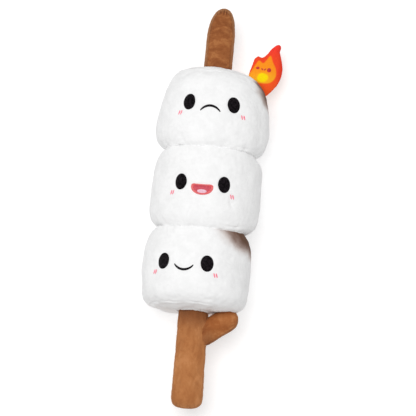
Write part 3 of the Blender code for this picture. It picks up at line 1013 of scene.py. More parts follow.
@dataclass(frozen=True)
class Face:
    """A marshmallow's face: where it is turned to, its eyes, its cheeks and its mouth.

    Attributes:
        which: Which marshmallow it is on: top, middle or bottom.
        centre_x: Where the marshmallow's middle lies across the toy.
        turn_deg: Angle of the face's middle line round the stick.
        eye_along: Place of the eyes along the stick.
        eye_tilts: How far the left and the right eye are turned, in degrees.
        eye_spread_deg: Angle from the middle line to each eye.
        eye_width: Width of an eye.
        eye_height: Height of an eye.
        cheek_spread_deg: Angle from the middle line to each cheek.
        cheek_drop: How far the cheeks lie below the eyes.
        blush_length: Length of a cheek's stroke.
        blush_apart: Distance between a cheek's two strokes.
        blush_slant_deg: How far a cheek's strokes are turned.
        radius: Radius of the marshmallow.
        eye_shifts: How far each eye is sewn off its even place, in degrees.
        cheek_shifts: How far each cheek is sewn off its even place, in degrees.
        mouth_shift: How far the mouth is sewn off the middle line, in degrees.
    """

    which: str
    centre_x: float
    turn_deg: float
    eye_along: float
    eye_tilts: tuple[float, float]
    eye_spread_deg: float = 23.2
    eye_width: float = 0.0140
    eye_height: float = 0.0176
    cheek_spread_deg: float = 33.6
    cheek_drop: float = 0.0118
    blush_length: float = 0.0050
    blush_apart: float = 0.0026
    blush_slant_deg: float = 72.0
    radius: float = 0.0602
    eye_shifts: tuple[float, float] = (0.0, 0.0)
    cheek_shifts: tuple[float, float] = (0.0, 0.0)
    mouth_shift: float = 0.0

    def seat(self, spread_deg: float, drop: float, tilt_deg: float = 0.0) -> Seat:
        """Gives a seat beside the face's middle line and below its eyes.

        Args:
            spread_deg: Angle from the middle line, positive to the right.
            drop: How far below the eyes.
            tilt_deg: How far it is turned in its own plane.

        Returns:
            The seat.
        """
        return Seat(self.centre_x, self.turn_deg + spread_deg, self.eye_along - drop, tilt_deg)

    def eyes(self) -> list[Embroidery]:
        """Gives the two eyes."""
        made = []
        for side, sign, tilt, shift in zip(("left", "right"), (-1, 1), self.eye_tilts, self.eye_shifts):
            name = f"eye_{self.which}_{side}"
            made.append(
                Embroidery(
                    f"stitched_{name}",
                    (name,),
                    "black_thread",
                    self.seat(sign * self.eye_spread_deg + shift, 0.0, tilt),
                    StitchPattern.OVAL,
                    half_width=self.eye_width / 2,
                    above=self.eye_height / 2,
                    below=self.eye_height / 2,
                )
            )
        return made

    def cheeks(self) -> list[Embroidery]:
        """Gives the two short strokes on each cheek."""
        made = []
        step = math.degrees(self.blush_apart / 2 / self.radius)
        bend = 0.05
        for side, sign, moved in zip(("left", "right"), (-1, 1), self.cheek_shifts):
            for place, shift in (("outer", sign), ("inner", -sign)):
                name = f"blush_{self.which}_{side}_{place}"
                made.append(
                    Embroidery(
                        f"stitched_{name}",
                        (name,),
                        "blush_thread",
                        self.seat(sign * self.cheek_spread_deg + moved + shift * step, self.cheek_drop),
                        StitchPattern.STROKE,
                        bend_radius=bend,
                        half_angle_deg=math.degrees(self.blush_length / 2 / bend),
                        turn_deg=-sign * self.blush_slant_deg,
                        line_width=0.0016,
                        height=0.0005,
                        edge_height=0.0002,
                        thread_relief=0.00006,
                        press_depth=0.0002,
                    )
                )
        return made

    def mouth(self) -> list[Embroidery]:
        """Gives the mouth: a frown, an open smile or a smile."""
        if self.which == "top":
            return [self.line_mouth("mouth_frown", radius=0.0128, turn_deg=0.0, drop=0.0034)]
        if self.which == "bottom":
            return [self.line_mouth("mouth_smile", radius=0.0123, turn_deg=180.0, drop=0.0083)]
        return self.open_mouth()

    def line_mouth(self, node: str, radius: float, turn_deg: float, drop: float) -> Embroidery:
        """Gives a mouth that is one bent line.

        Args:
            node: Name of the solid that it replaces.
            radius: Radius that it is bent to.
            turn_deg: 0 for a frown, 180 for a smile.
            drop: How far its middle lies below the eyes.

        Returns:
            The mouth.
        """
        return Embroidery(
            f"stitched_{node}",
            (node,),
            "black_thread",
            self.seat(self.mouth_shift, drop),
            StitchPattern.STROKE,
            bend_radius=radius,
            half_angle_deg=57.0,
            turn_deg=turn_deg,
            line_width=0.0026,
            press_depth=0.0003,
        )

    def open_mouth(self) -> list[Embroidery]:
        """Gives the open mouth: its lip, its inside and its tongue."""
        drop, tongue_drop = 0.0049, 0.0092
        seat = self.seat(self.mouth_shift, drop)
        shape = {"squareness": 3.1, "dip": 0.30}
        lip = Embroidery(
            "stitched_mouth_lip",
            ("mouth_lip",),
            "lip_thread",
            seat,
            StitchPattern.RING,
            half_width=0.0120,
            above=0.0046,
            below=0.0085,
            border=(0.0028, 0.0021, 0.0023),
            **shape,
        )
        inside = Embroidery(
            "stitched_mouth_inside",
            ("mouth_inside",),
            "mouth_thread",
            seat,
            StitchPattern.OVAL,
            half_width=0.0098,
            above=0.0030,
            below=0.0067,
            height=0.0004,
            edge_height=0.0002,
            **shape,
        )
        tongue = Embroidery(
            "stitched_mouth_tongue",
            ("mouth_tongue",),
            "tongue_thread",
            self.seat(self.mouth_shift, tongue_drop),
            StitchPattern.OVAL,
            half_width=0.0052,
            above=0.0019,
            below=0.0021,
            height=0.0009,
            edge_height=0.0005,
            thread_pitch=0.0006,
        )
        return [lip, inside, tongue]

    def patches(self) -> list[Embroidery]:
        """Gives everything that is stitched on this marshmallow."""
        return [*self.eyes(), *self.cheeks(), *self.mouth()]


@dataclass(frozen=True)
class Rim:
    """A sewn ring where a marshmallow's side meets one of its ends.

    Attributes:
        toward: 1 for the end towards the stick's tip, -1 for the other.
        end: Place of the end along the stick.
        corner: Radius of the rounded corner.
        seam_reach: How far from the middle line the seam lies.
        seam_along: Place of the seam along the stick.
        ridge: Height of the seam, or depth where it is negative.
        pucker: Depth of the small folds that run from the seam.
        seed: Seed of the folds.
        roll: Height of the soft rolls to both sides of the seam.
        wander: How far the seam strays from its even line.
        unevenness: How much the seam's strength varies round the ring.
        calm: How much weaker the seam is at its right side.
    """

    toward: int
    end: float
    corner: float
    seam_reach: float
    seam_along: float
    ridge: float
    pucker: float
    seed: int
    roll: float = 0.0
    wander: float = 0.0006
    unevenness: float = 0.35
    calm: float = 0.0

    def distance(self, along: np.ndarray, reach: np.ndarray, radius: float) -> np.ndarray:
        """Gives how far each point lies past the seam towards the end's middle, round the corner.

        Args:
            along: Each point's place along the body.
            reach: Each point's distance from the middle line.
            radius: Radius of the marshmallow.

        Returns:
            One distance a point, negative on the side.
        """
        corner_along = self.end - self.toward * self.corner
        corner_reach = radius - self.corner
        angle = np.arctan2(self.toward * (along - corner_along), reach - corner_reach)
        rise = self.toward * (self.seam_along - corner_along)
        return (angle - math.atan2(rise, self.seam_reach - corner_reach)) * self.corner

    def relief(self, azimuth: np.ndarray, past: np.ndarray) -> np.ndarray:
        """Gives how far the seam's ridge, grooves and puckers move the surface outward.

        Args:
            azimuth: Each point's angle round the body.
            past: Each point's distance past the seam.

        Returns:
            One distance a point.
        """
        ridge_width, side_width, side_place, fold_length = 0.0012, 0.0015, 0.0027, 0.0045
        offset = past + self.wander * ripple(azimuth, self.seed, 5, 16)
        strength = np.clip(0.65 + self.unevenness * ripple(azimuth, self.seed + 5, 6, 20), 0.1, 1.4)
        strength *= 1.0 - self.calm * smooth_step(azimuth, 0.15, 0.75) * smooth_step(azimuth, 2.4, 1.6)
        ridge = self.ridge * strength * bump(offset, ridge_width)
        rolls = self.roll * strength * (bump(offset - 0.0042, 0.0030) + 0.55 * bump(offset + 0.0040, 0.0034))
        sides = bump(offset - side_place, side_width) + bump(offset + side_place, side_width)
        sides *= 0.5 * self.ridge
        nearness = np.exp(-np.abs(offset) / fold_length)
        above = np.clip(ripple(azimuth, self.seed + 1, 12, 30), 0.0, None) ** 1.3 * (offset < 0.0)
        below = np.clip(ripple(azimuth, self.seed + 2, 12, 30), 0.0, None) ** 1.3 * (offset >= 0.0)
        folds = self.pucker * (above + 0.8 * below) * nearness * (1.0 - bump(offset, 0.0008))
        return ridge + rolls - sides - folds


@dataclass(frozen=True)
class Crease:
    """A soft fold in the pile.

    Attributes:
        start: Where it starts: the angle round the stick in degrees, and the place along it.
        end: Where it ends, in the same way.
        depth: How deep it is.
        width: How wide it is to each side.
    """

    start: tuple[float, float]
    end: tuple[float, float]
    depth: float
    width: float

    def depth_at(self, azimuth: np.ndarray, along: np.ndarray, radius: float) -> np.ndarray:
        """Gives how deep the fold is at each point.

        Args:
            azimuth: Each point's angle round the body.
            along: Each point's place along the body.
            radius: Radius of the marshmallow.

        Returns:
            One depth a point, negative at the fold's raised shoulder.
        """
        longest_angle, waviness = 2.6, 0.0012
        x0, y0 = math.radians(self.start[0]) * radius, self.start[1]
        x1, y1 = math.radians(self.end[0]) * radius, self.end[1]
        dx, dy = x1 - x0, y1 - y0
        length = math.hypot(dx, dy)
        x, y = azimuth * radius - x0, along - y0
        along_fold = (x * dx + y * dy) / length / length
        across_fold = (x * dy - y * dx) / length
        window = bump(along_fold - 0.5, 0.42) * (np.abs(azimuth) < longest_angle)
        bend = waviness * np.sin(along_fold * 4.0)
        fold = bump(across_fold - bend, self.width)
        shoulder = 0.4 * bump(across_fold - bend - 2.2 * self.width, 1.4 * self.width)
        return self.depth * window * (fold - shoulder)


@dataclass(frozen=True)
class Bulge:
    """A broad rise of the skin, or a hollow where the rise is negative.

    Attributes:
        azimuth_deg: Angle of its middle round the stick.
        along: Place of its middle along the stick.
        half_azimuth_deg: How far it reaches round the stick.
        half_along: How far it reaches along the stick.
        rise: How far the skin moves outward at its middle.
    """

    azimuth_deg: float
    along: float
    half_azimuth_deg: float
    half_along: float
    rise: float

    def rise_at(self, azimuth: np.ndarray, along: np.ndarray) -> np.ndarray:
        """Gives how far each point moves outward."""
        turned = bump(azimuth - math.radians(self.azimuth_deg), math.radians(self.half_azimuth_deg))
        return self.rise * turned * bump(along - self.along, self.half_along)


@dataclass(frozen=True)
class Join:
    """Where two marshmallows are sewn and pressed together, from one marshmallow's side.

    Attributes:
        place: Place of the join along the stick.
        pitch_deg: How far the join leans.
        side: 1 where the marshmallow lies towards the stick's tip, -1 where it lies the other way.
        front_shift: How far the rounded end is pressed to its neighbour at the front.
        seed: Seed of the gathers.
        fade: How far from the join the end starts to move.
        overlap: How far the skin may go past the join.
        gather: Depth of the gathers.
    """

    place: float
    pitch_deg: float
    side: int
    front_shift: float
    seed: int
    fade: float = 0.028
    overlap: float = 0.0005
    gather: float = 0.0003

    def gap(self, points: np.ndarray) -> np.ndarray:
        """Gives how far each point lies from the join, inside its own marshmallow."""
        pitch = math.radians(self.pitch_deg)
        along = (points[:, 1] - self.place) * math.cos(pitch)
        return self.side * (along + (points[:, 2] - AXIS_HEIGHT) * math.sin(pitch))

    def close(self, points: np.ndarray, azimuth: np.ndarray) -> np.ndarray:
        """Presses the rounded end against its neighbour, most at the front.

        Args:
            points: The skin's vertices.
            azimuth: Their angles round the body.

        Returns:
            The moved vertices.
        """
        gap = self.gap(points)
        front = smooth_step(np.abs(azimuth), math.radians(FRONT_ENDS_DEG), math.radians(FRONT_FULL_DEG))
        shift = self.front_shift * front
        pressed = np.maximum(gap - shift * smooth_step(gap, self.fade, 0.0), -self.overlap)
        pitch = math.radians(self.pitch_deg)
        direction = np.array((0.0, math.cos(pitch), math.sin(pitch))) * self.side
        return points + (pressed - gap)[:, None] * direction

    def relief(self, points: np.ndarray, azimuth: np.ndarray) -> np.ndarray:
        """Gives how far the small gathers at the join move the surface outward."""
        gap = self.gap(points)
        gathers = np.clip(ripple(azimuth, self.seed, 14, 30), 0.0, None)
        return -self.gather * gathers * np.exp(-np.clip(gap, 0.0, None) / 0.0035)


@dataclass(frozen=True)
class Marshmallow:
    """One stuffed marshmallow: its plush body with sewn rims, and its stitched face.

    Attributes:
        which: Which marshmallow it is: top, middle or bottom.
        widest: Place along the stick where it is widest.
        radius: Its radius there.
        roll_deg: How far its middle line leans across the toy.
        pitch_deg: How far its middle line leans to the front.
        rims: Its sewn rings.
        face: Its face.
        creases: Its soft folds.
        joins: Where it is pressed against its neighbours.
        bulges: Its broad rises and hollows.
        stick_reach: How far the stick reaches from the middle line at a free end, or 0.
        gather_seed: Seed of the folds round the stick.
        lump_shift: Shift of its pattern of lumps.
        stuffing: How it is filled.
    """

    which: str
    widest: float
    radius: float
    roll_deg: float
    pitch_deg: float
    rims: tuple[Rim, ...]
    face: Face
    creases: tuple[Crease, ...] = ()
    joins: tuple[Join, ...] = ()
    bulges: tuple[Bulge, ...] = ()
    stick_reach: float = 0.0
    gather_seed: int = 0
    lump_shift: float = 0.0
    stuffing: Stuffing = Stuffing(voxel=0.0034, slack=0.012, head_start=0.0003, most_move=0.0018)

    def measure(self, points: np.ndarray) -> tuple[np.ndarray, np.ndarray, np.ndarray]:
        """Gives each point's angle round the body, place along it and distance from its middle line."""
        roll, pitch = math.radians(self.roll_deg), math.radians(self.pitch_deg)
        origin_x = CENTRE_X[self.which] + self.widest * math.sin(roll)
        origin = np.array((origin_x, 0.0, AXIS_HEIGHT - self.widest * math.sin(pitch)))
        turned = Matrix.Rotation(roll, 3, "Z") @ Matrix.Rotation(pitch, 3, "X")
        local = (points - origin) @ np.array(turned)
        return np.arctan2(local[:, 0], local[:, 2]), local[:, 1], np.hypot(local[:, 0], local[:, 2])

    def held(self, points: np.ndarray) -> np.ndarray:
        """Gives how firmly the skin is sewn or pressed down: at its seams, joins and resting flat."""
        _, along, reach = self.measure(points)
        firm = smooth_step(points[:, 2], 0.0030, 0.0010)
        for rim in self.rims:
            past = rim.distance(along, reach, self.radius)
            firm = np.maximum(firm, smooth_step(np.abs(past), 0.0040, 0.0015))
        for join in self.joins:
            firm = np.maximum(firm, smooth_step(join.gap(points), 0.0060, 0.0020))
        if self.stick_reach:
            firm = np.maximum(firm, smooth_step(reach, self.stick_reach + 0.004, self.stick_reach))
        return firm

    def sculpt(self, piece: bpy.types.Object) -> None:
        """Works the seams, puckers, folds and lumps into the swollen skin."""
        points = read_points(piece)
        for join in self.joins:
            points = join.close(points, self.measure(points)[0])
        write_points(piece, points)
        normals = read_normals(piece)
        azimuth, along, reach = self.measure(points)
        outward = np.zeros(len(points))
        for join in self.joins:
            outward += join.relief(points, azimuth)
        for rim in self.rims:
            outward += rim.relief(azimuth, rim.distance(along, reach, self.radius))
        for crease in self.creases:
            outward -= crease.depth_at(azimuth, along, self.radius)
        for bulge in self.bulges:
            outward += bulge.rise_at(azimuth, along)
        outward += self.stick_gathers(azimuth, reach, along)
        for rise, size, shift in LUMPS:
            outward += rise * noise_field(points, (size, size, size), self.lump_shift + shift)
        resting = smooth_step(points[:, 2], 0.0002, 0.0040)
        points += normals * (outward * resting)[:, None]
        for patch in self.face.patches():
            points = patch.press(points, normals)
        points[:, 2] = np.maximum(points[:, 2], 0.0)
        write_points(piece, points)

    def stick_gathers(self, azimuth: np.ndarray, reach: np.ndarray, along: np.ndarray) -> np.ndarray:
        """Gives the folds that run out from the stick over a free end.

        Args:
            azimuth: Each point's angle round the body.
            reach: Each point's distance from the middle line.
            along: Each point's place along the body.

        Returns:
            How far each point moves outward.
        """
        if not self.stick_reach:
            return np.zeros(len(azimuth))
        side_half, lip_height, fold_depth, fold_length = 0.025, 0.0010, 0.0012, 0.007
        free_end = np.abs(along - self.widest) > side_half
        folds = np.clip(ripple(azimuth, self.gather_seed, 7, 17), 0.0, None)
        fade = np.exp(-np.clip(reach - self.stick_reach, 0.0, None) / fold_length)
        lip = lip_height * bump(reach - self.stick_reach - 0.0015, 0.0020)
        return np.where(free_end, lip - fold_depth * folds * fade, 0.0)

    def build(self, finishes: Finishes) -> bpy.types.Object:
        """Makes the body and its face.

        Args:
            finishes: Every finish.

        Returns:
            The stuffed body.
        """
        node = f"marshmallow_{self.which}"
        piece = copy_node(node, f"plush_{node}")
        remesh(piece, self.stuffing.voxel)
        self.stuffing.fill(piece, self.held(read_points(piece)))
        subdivide(piece, 2)
        self.sculpt(piece)
        dress(piece, finishes.plush[self.which], (node,))
        tree = surface_tree(piece)
        for patch in self.face.patches():
            patch.build(tree, finishes)
        return piece


@dataclass(frozen=True)
class StickPiece:
    """One stuffed piece of the stick: front and back panels with a strip between them.

    Attributes:
        which: Which piece it is: tip, handle or branch.
        origin: A place on its middle line, seen from the front.
        direction_deg: Where its middle line points, from +X.
        half_width: Half its width.
        half_depth: Half its depth.
        seam_share: Height of its seams, as a share of half_depth.
        bury: How far its sewn end goes into what carries it, against direction_deg.
        gathers: Place, span, depth and painted shade of the small folds where the velvet is drawn together.
        fold_sizes: Size of its soft folds along X, Y and Z.
        base: The solid that carries it, and how near to it the sewn end starts.
        shaded: Where the painted shade at its sewn end, next to what carries it, starts and is full, and how
            dark it is.
        lean: Where its bend starts, how long it is, and how far it goes sideways.
        fold_depth: Depth of its soft folds.
        plump: How far its sides are filled out.
        blunt: Place, span and amount of the fuller corners at its end.
        cap: How far its free end is filled out.
        stuffing: How it is filled.
    """

    which: str
    origin: tuple[float, float]
    direction_deg: float
    half_width: float
    half_depth: float
    seam_share: float
    bury: float
    gathers: tuple[float, float, float, float]
    fold_sizes: tuple[float, float, float]
    base: tuple[str, float]
    shaded: tuple[float, float, float] = (0.0, 0.0, 0.0)
    lean: tuple[float, float, float] = (0.0, 0.060, 0.0)
    fold_depth: float = 0.00030
    plump: float = 0.0006
    blunt: tuple[float, float, float] = (0.0, 0.006, 0.0)
    cap: float = 0.0
    stuffing: Stuffing = Stuffing(voxel=0.0017, slack=0.006, head_start=0.0005, most_move=0.0010)

    def measure(self, points: np.ndarray) -> tuple[np.ndarray, np.ndarray, np.ndarray]:
        """Gives how far each point lies across, along and above the stick's middle line."""
        angle = math.radians(self.direction_deg)
        forward = np.array((math.cos(angle), math.sin(angle)))
        side = np.array((math.sin(angle), -math.cos(angle)))
        flat = points[:, :2] - np.array(self.origin)
        return flat @ side, flat @ forward, points[:, 2] - AXIS_HEIGHT

    def from_seam(self, points: np.ndarray, normals: np.ndarray) -> np.ndarray:
        """Gives how far each point lies from the nearer seam, positive on the front and back panels."""
        above = np.abs(points[:, 2] - AXIS_HEIGHT) - self.seam_share * self.half_depth
        slope = np.sqrt(np.clip(1.0 - normals[:, 2] ** 2, 0.12, 1.0))
        return above / slope

    def sink_base(self, points: np.ndarray) -> np.ndarray:
        """Pushes the sewn end into what carries it, so that no gap shows.

        Args:
            points: The skin's vertices.

        Returns:
            The moved vertices.
        """
        carrier, reach = self.base
        tree = surface_tree(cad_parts[carrier])
        angle = math.radians(self.direction_deg)
        inward = np.array((-math.cos(angle), -math.sin(angle), 0.0)) * self.bury
        gaps = np.array([tree.find_nearest(Vector(place))[-1] for place in points])
        share = smooth_step(gaps, reach + 0.0012, reach)
        return points + share[:, None] * inward

    def sculpt(self, piece: bpy.types.Object) -> None:
        """Works the seams, folds and gathers into the swollen skin, and marks them for the finish: the side
        strips for painted sheen, and the grooves, gathers, fold hollows and sewn end for painted shade.
        """
        groove_depth, ridge_height, lump_height = 0.00038, 0.00015, 0.00012
        points = read_points(piece)
        normals = read_normals(piece)
        across, along, height = self.measure(points)
        seam = self.from_seam(points, normals)
        seam += 0.0003 * noise_field(points, (0.008, 0.008, 0.008), 3.0)
        groove = bump(seam, 0.0007)
        ridge = bump(seam + 0.0014, 0.0008)
        end, width, amount = self.blunt
        corner = bump(along - end, width) * smooth_step(np.abs(across) / self.half_width, 0.35, 0.85)
        direction = math.radians(self.direction_deg)
        facing = normals[:, :2] @ np.array((math.cos(direction), math.sin(direction)))
        outward = self.plump * (1.0 - np.abs(facing)) + self.cap * np.clip(facing, 0.0, None)
        outward += amount * corner - groove_depth * groove + ridge_height * ridge
        folds = noise_field(points, self.fold_sizes, 21.0)
        outward += self.fold_depth * folds
        outward += lump_height * noise_field(points, (0.0028, 0.0028, 0.0028), 5.0)
        at, span, depth, darkness = self.gathers
        window = smooth_step(np.abs(along - at), span, span * 0.25)
        window *= smooth_step(seam, 0.0070, 0.0015) * smooth_step(seam, -0.0040, -0.0010)
        turn = across / self.half_width * 3.0 + (height > 0.0) * 1.7
        gather = np.clip(1.9 * ripple(turn, 33, 9, 14) + 0.15, 0.0, 1.0) * window
        outward -= depth * gather
        points = points + normals * outward[:, None]
        start, length, shift = self.lean
        points[:, 0] += shift * np.clip((along - start) / length, 0.0, None) ** 2
        if self.bury:
            points = self.sink_base(points)
        write_points(piece, points)
        # Marks the side strips between the seams, which the velvet paints with sheen.
        strip = smooth_step(seam, 0.0002, -0.0008)
        # Painted shade: darker in the seam grooves, the gathers, the folds' hollows and towards the sewn
        # end.
        far, near, darkest = self.shaded
        shade = darkest * smooth_step(along, far, near) if darkest else 0.0
        crease = 0.30 * groove + darkness * gather + 0.18 * np.clip(-folds - 0.3, 0.0, 1.0) + shade
        crease = np.clip(crease, 0.0, 0.85)
        for name, values in (("strip", strip), ("crease", crease)):
            layer = piece.data.attributes.new(name, "FLOAT", "POINT")
            layer.data.foreach_set("value", values.astype(np.float32))

    def build(self, finishes: Finishes) -> bpy.types.Object:
        """Makes the piece.

        Args:
            finishes: Every finish.

        Returns:
            The new piece.
        """
        node = f"stick_{self.which}"
        piece = copy_node(node, f"velvet_{node}")
        remesh(piece, self.stuffing.voxel)
        points = read_points(piece)
        firm = smooth_step(np.abs(self.from_seam(points, read_normals(piece))), 0.0022, 0.0010)
        self.stuffing.fill(piece, firm)
        subdivide(piece, 2)
        self.sculpt(piece)
        dress(piece, finishes.velvet[self.which], (node,))
        return piece


def round_outline(corners: Sequence[tuple[float, float]], steps: int = 8) -> np.ndarray:
    """Draws a closed smooth line through a few corners.

    Args:
        corners: The corners, in order.
        steps: Points drawn from each corner to the next.

    Returns:
        The drawn points, one a row.
    """
    knots = np.array(corners)
    before, after, next_after = np.roll(knots, 1, 0), np.roll(knots, -1, 0), np.roll(knots, -2, 0)
    drawn = []
    for step in range(steps):
        t = step / steps
        drawn.append(
            0.5
            * (
                2 * knots
                + (after - before) * t
                + (2 * before - 5 * knots + 4 * after - next_after) * t**2
                + (3 * knots - before - 3 * after + next_after) * t**3
            )
        )
    return np.stack(drawn, 1).reshape(-1, 2)


def depth_inside(places: np.ndarray, outline: np.ndarray) -> np.ndarray:
    """Gives how far each flat place lies inside a closed outline, negative outside it."""
    ends = np.roll(outline, -1, 0)
    nearest = np.full(len(places), 1e9)
    inside = np.zeros(len(places), bool)
    for (x0, y0), (x1, y1) in zip(outline, ends):
        dx, dy = x1 - x0, y1 - y0
        length = max(dx * dx + dy * dy, 1e-18)
        share = np.clip(((places[:, 0] - x0) * dx + (places[:, 1] - y0) * dy) / length, 0.0, 1.0)
        gap = np.hypot(places[:, 0] - x0 - share * dx, places[:, 1] - y0 - share * dy)
        nearest = np.minimum(nearest, gap)
        spans = (y0 > places[:, 1]) != (y1 > places[:, 1])
        if dy:
            inside ^= spans & (places[:, 0] < x0 + (places[:, 1] - y0) / dy * dx)
    return np.where(inside, nearest, -nearest)


def blend_colours(first: np.ndarray | Colour, second: np.ndarray | Colour, share: np.ndarray) -> np.ndarray:
    """Mixes two colours at each vertex, by the share of the second one."""
    return np.array(first) * (1.0 - share[:, None]) + np.array(second) * share[:, None]


@dataclass(frozen=True)
class Flame:
    """The small stuffed flame: two printed sides sewn together round the edge, and a tiny face.

    Attributes:
        middle_z: Height of its middle above the floor.
        half_thickness: Half its thickness where it is fullest.
        shoulder: How far from its edge it is full.
        plate: Thickness of the flat plate that it starts from.
        bury: How far its foot goes into the marshmallow.
        stuffing: How it is filled.
        red: Colour of its rim.
        red_tip: The rim's colour at its tip.
        red_low: The rim's colour at its foot.
        red_right_shade: The rim's red with painted shade, at its right edge, the side turned from the lamp.
        orange: Colour of the printed flame inside it.
        orange_low: The printed flame's colour at its foot.
        yellow: Colour of the printed heart.
        foot_band: Places along the toy where red_low starts and is full.
        tip_band: Places along the toy where red_tip starts and is full.
        right_shade_band: Places across the toy where the painted shade at the rim's right edge starts and is
            full.
        glow_band: Places along the toy where orange_low starts and is full.
        orange_outline: Corners of the printed flame.
        yellow_outline: Corners of the printed heart.
        middle: Middle of the flame, seen from the front.
    """

    middle_z: float = AXIS_HEIGHT - 0.021
    half_thickness: float = 0.0066
    shoulder: float = 0.0120
    plate: float = 0.0016
    bury: float = 0.0025
    stuffing: Stuffing = Stuffing(voxel=0.0008, slack=0.006, head_start=0.0, most_move=0.0007)
    red: Colour = screen_colour(248, 74, 40)
    red_tip: Colour = screen_colour(250, 62, 50)
    red_low: Colour = screen_colour(254, 92, 36)
    red_right_shade: Colour = screen_colour(232, 54, 38)
    orange: Colour = screen_colour(255, 150, 30)
    orange_low: Colour = screen_colour(255, 178, 36)
    yellow: Colour = screen_colour(255, 226, 4)
    foot_band: tuple[float, float] = (0.150, 0.128)
    tip_band: tuple[float, float] = (0.160, 0.176)
    right_shade_band: tuple[float, float] = (0.0660, 0.0725)
    glow_band: tuple[float, float] = (0.150, 0.134)
    orange_outline: tuple[tuple[float, float], ...] = (
        (0.0582, 0.1648),
        (0.0612, 0.1575),
        (0.0652, 0.1500),
        (0.0658, 0.1420),
        (0.0625, 0.1358),
        (0.0560, 0.1325),
        (0.0450, 0.1330),
        (0.0345, 0.1380),
        (0.0385, 0.1470),
        (0.0428, 0.1548),
        (0.0460, 0.1582),
        (0.0505, 0.1556),
        (0.0542, 0.1598),
    )
    yellow_outline: tuple[tuple[float, float], ...] = (
        (0.0505, 0.1440),
        (0.0560, 0.1422),
        (0.0572, 0.1380),
        (0.0538, 0.1342),
        (0.0490, 0.1335),
        (0.0452, 0.1362),
        (0.0462, 0.1418),
    )
    middle: tuple[float, float] = (0.053, 0.146)

    def cut_outline(self, piece: bpy.types.Object) -> np.ndarray:
        """Cuts the flame's solid down to its flat middle section.

        Args:
            piece: A copy of the solid.

        Returns:
            Points round the section's edge, as seen from the front.
        """
        select_only(piece)
        bpy.ops.object.mode_set(mode="EDIT")
        bpy.ops.mesh.select_all(action="SELECT")
        bpy.ops.mesh.bisect(
            plane_co=(0.0, 0.0, self.middle_z),
            plane_no=(0.0, 0.0, 1.0),
            use_fill=True,
            clear_inner=True,
            clear_outer=True,
        )
        bpy.ops.object.mode_set(mode="OBJECT")
        corners = read_points(piece)[:, :2]
        edges = np.array([tuple(edge.vertices) for edge in piece.data.edges])
        starts, ends = corners[edges[:, 0]], corners[edges[:, 1]]
        shares = np.linspace(0.0, 1.0, 12)[:, None, None]
        return (starts * (1.0 - shares) + ends * shares).reshape(-1, 2)

    def edge_gaps(self, points: np.ndarray, edge: np.ndarray) -> np.ndarray:
        """Gives each point's distance from the edge, as seen from the front."""
        sideways = points[:, None, 0] - edge[None, :, 0]
        endways = points[:, None, 1] - edge[None, :, 1]
        return np.min(np.hypot(sideways, endways), 1)

    def swell(self, piece: bpy.types.Object, edge: np.ndarray) -> np.ndarray:
        """Rounds the flat plate to a pillow, thin at its sewn edge.

        Args:
            piece: The plate, of even squares.
            edge: Points round its edge.

        Returns:
            Each vertex's distance from the edge.
        """
        points = read_points(piece)
        gaps = self.edge_gaps(points, edge)
        share = np.clip(gaps / self.shoulder, 0.0, 1.0)
        height = self.half_thickness * np.sqrt(1.0 - (1.0 - share) ** 2)
        side = np.where(points[:, 2] > self.middle_z, 1.0, -1.0)
        points[:, 2] = self.middle_z + side * np.maximum(height, 0.0002)
        write_points(piece, points)
        return gaps

    def sculpt(self, piece: bpy.types.Object, edge: np.ndarray) -> None:
        """Works the seam's small gathers into the pillow, and tucks its foot into the shoulder.

        Args:
            piece: The swollen pillow.
            edge: Points round its edge.
        """
        points = read_points(piece)
        normals = read_normals(piece)
        gaps = self.edge_gaps(points, edge)
        turn = np.arctan2(points[:, 0] - self.middle[0], points[:, 1] - self.middle[1])
        gather_depth, lump_height = 0.00045, 0.00018
        gathers = np.clip(ripple(turn, 83, 14, 30), 0.0, None) * bump(gaps - 0.0022, 0.0018)
        outward = lump_height * noise_field(points, (0.006, 0.006, 0.006), 2.0) - gather_depth * gathers
        points += normals * outward[:, None]
        tree = surface_tree(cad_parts["marshmallow_top"])
        for index, place in enumerate(points):
            _, facing, _, gap = tree.find_nearest(Vector(place))
            share = 1.0 - min(max((gap - 0.0006) / 0.0020, 0.0), 1.0)
            if share > 0.0:
                points[index] -= np.array(facing) * self.bury * share
        write_points(piece, points)

    def paint(self, piece: bpy.types.Object) -> None:
        """Paints the flame's colours on the mesh: a printed red rim, orange flame and yellow heart, with
        painted shade along the rim's right edge.
        """
        flat = read_points(piece)[:, :2]
        across, along = flat[:, 0], flat[:, 1]
        in_orange = smooth_step(depth_inside(flat, round_outline(self.orange_outline)), -0.0008, 0.0010)
        in_yellow = smooth_step(depth_inside(flat, round_outline(self.yellow_outline)), -0.0013, 0.0015)
        colour = blend_colours(self.red, self.red_low, smooth_step(along, *self.foot_band))
        colour = blend_colours(colour, self.red_tip, smooth_step(along, *self.tip_band))
        # Painted shade: the rim darkens towards its right edge, the side turned from the lamp.
        colour = blend_colours(colour, self.red_right_shade, 0.7 * smooth_step(across, *self.right_shade_band))
        inner = blend_colours(self.orange, self.orange_low, smooth_step(along, *self.glow_band))
        colour = blend_colours(colour, inner, in_orange)
        colour = blend_colours(colour, self.yellow, in_yellow)
        colour[:, 3] = 1.0
        layer = piece.data.color_attributes.new("print", "FLOAT_COLOR", "POINT")
        layer.data.foreach_set("color", colour.astype(np.float32).ravel())

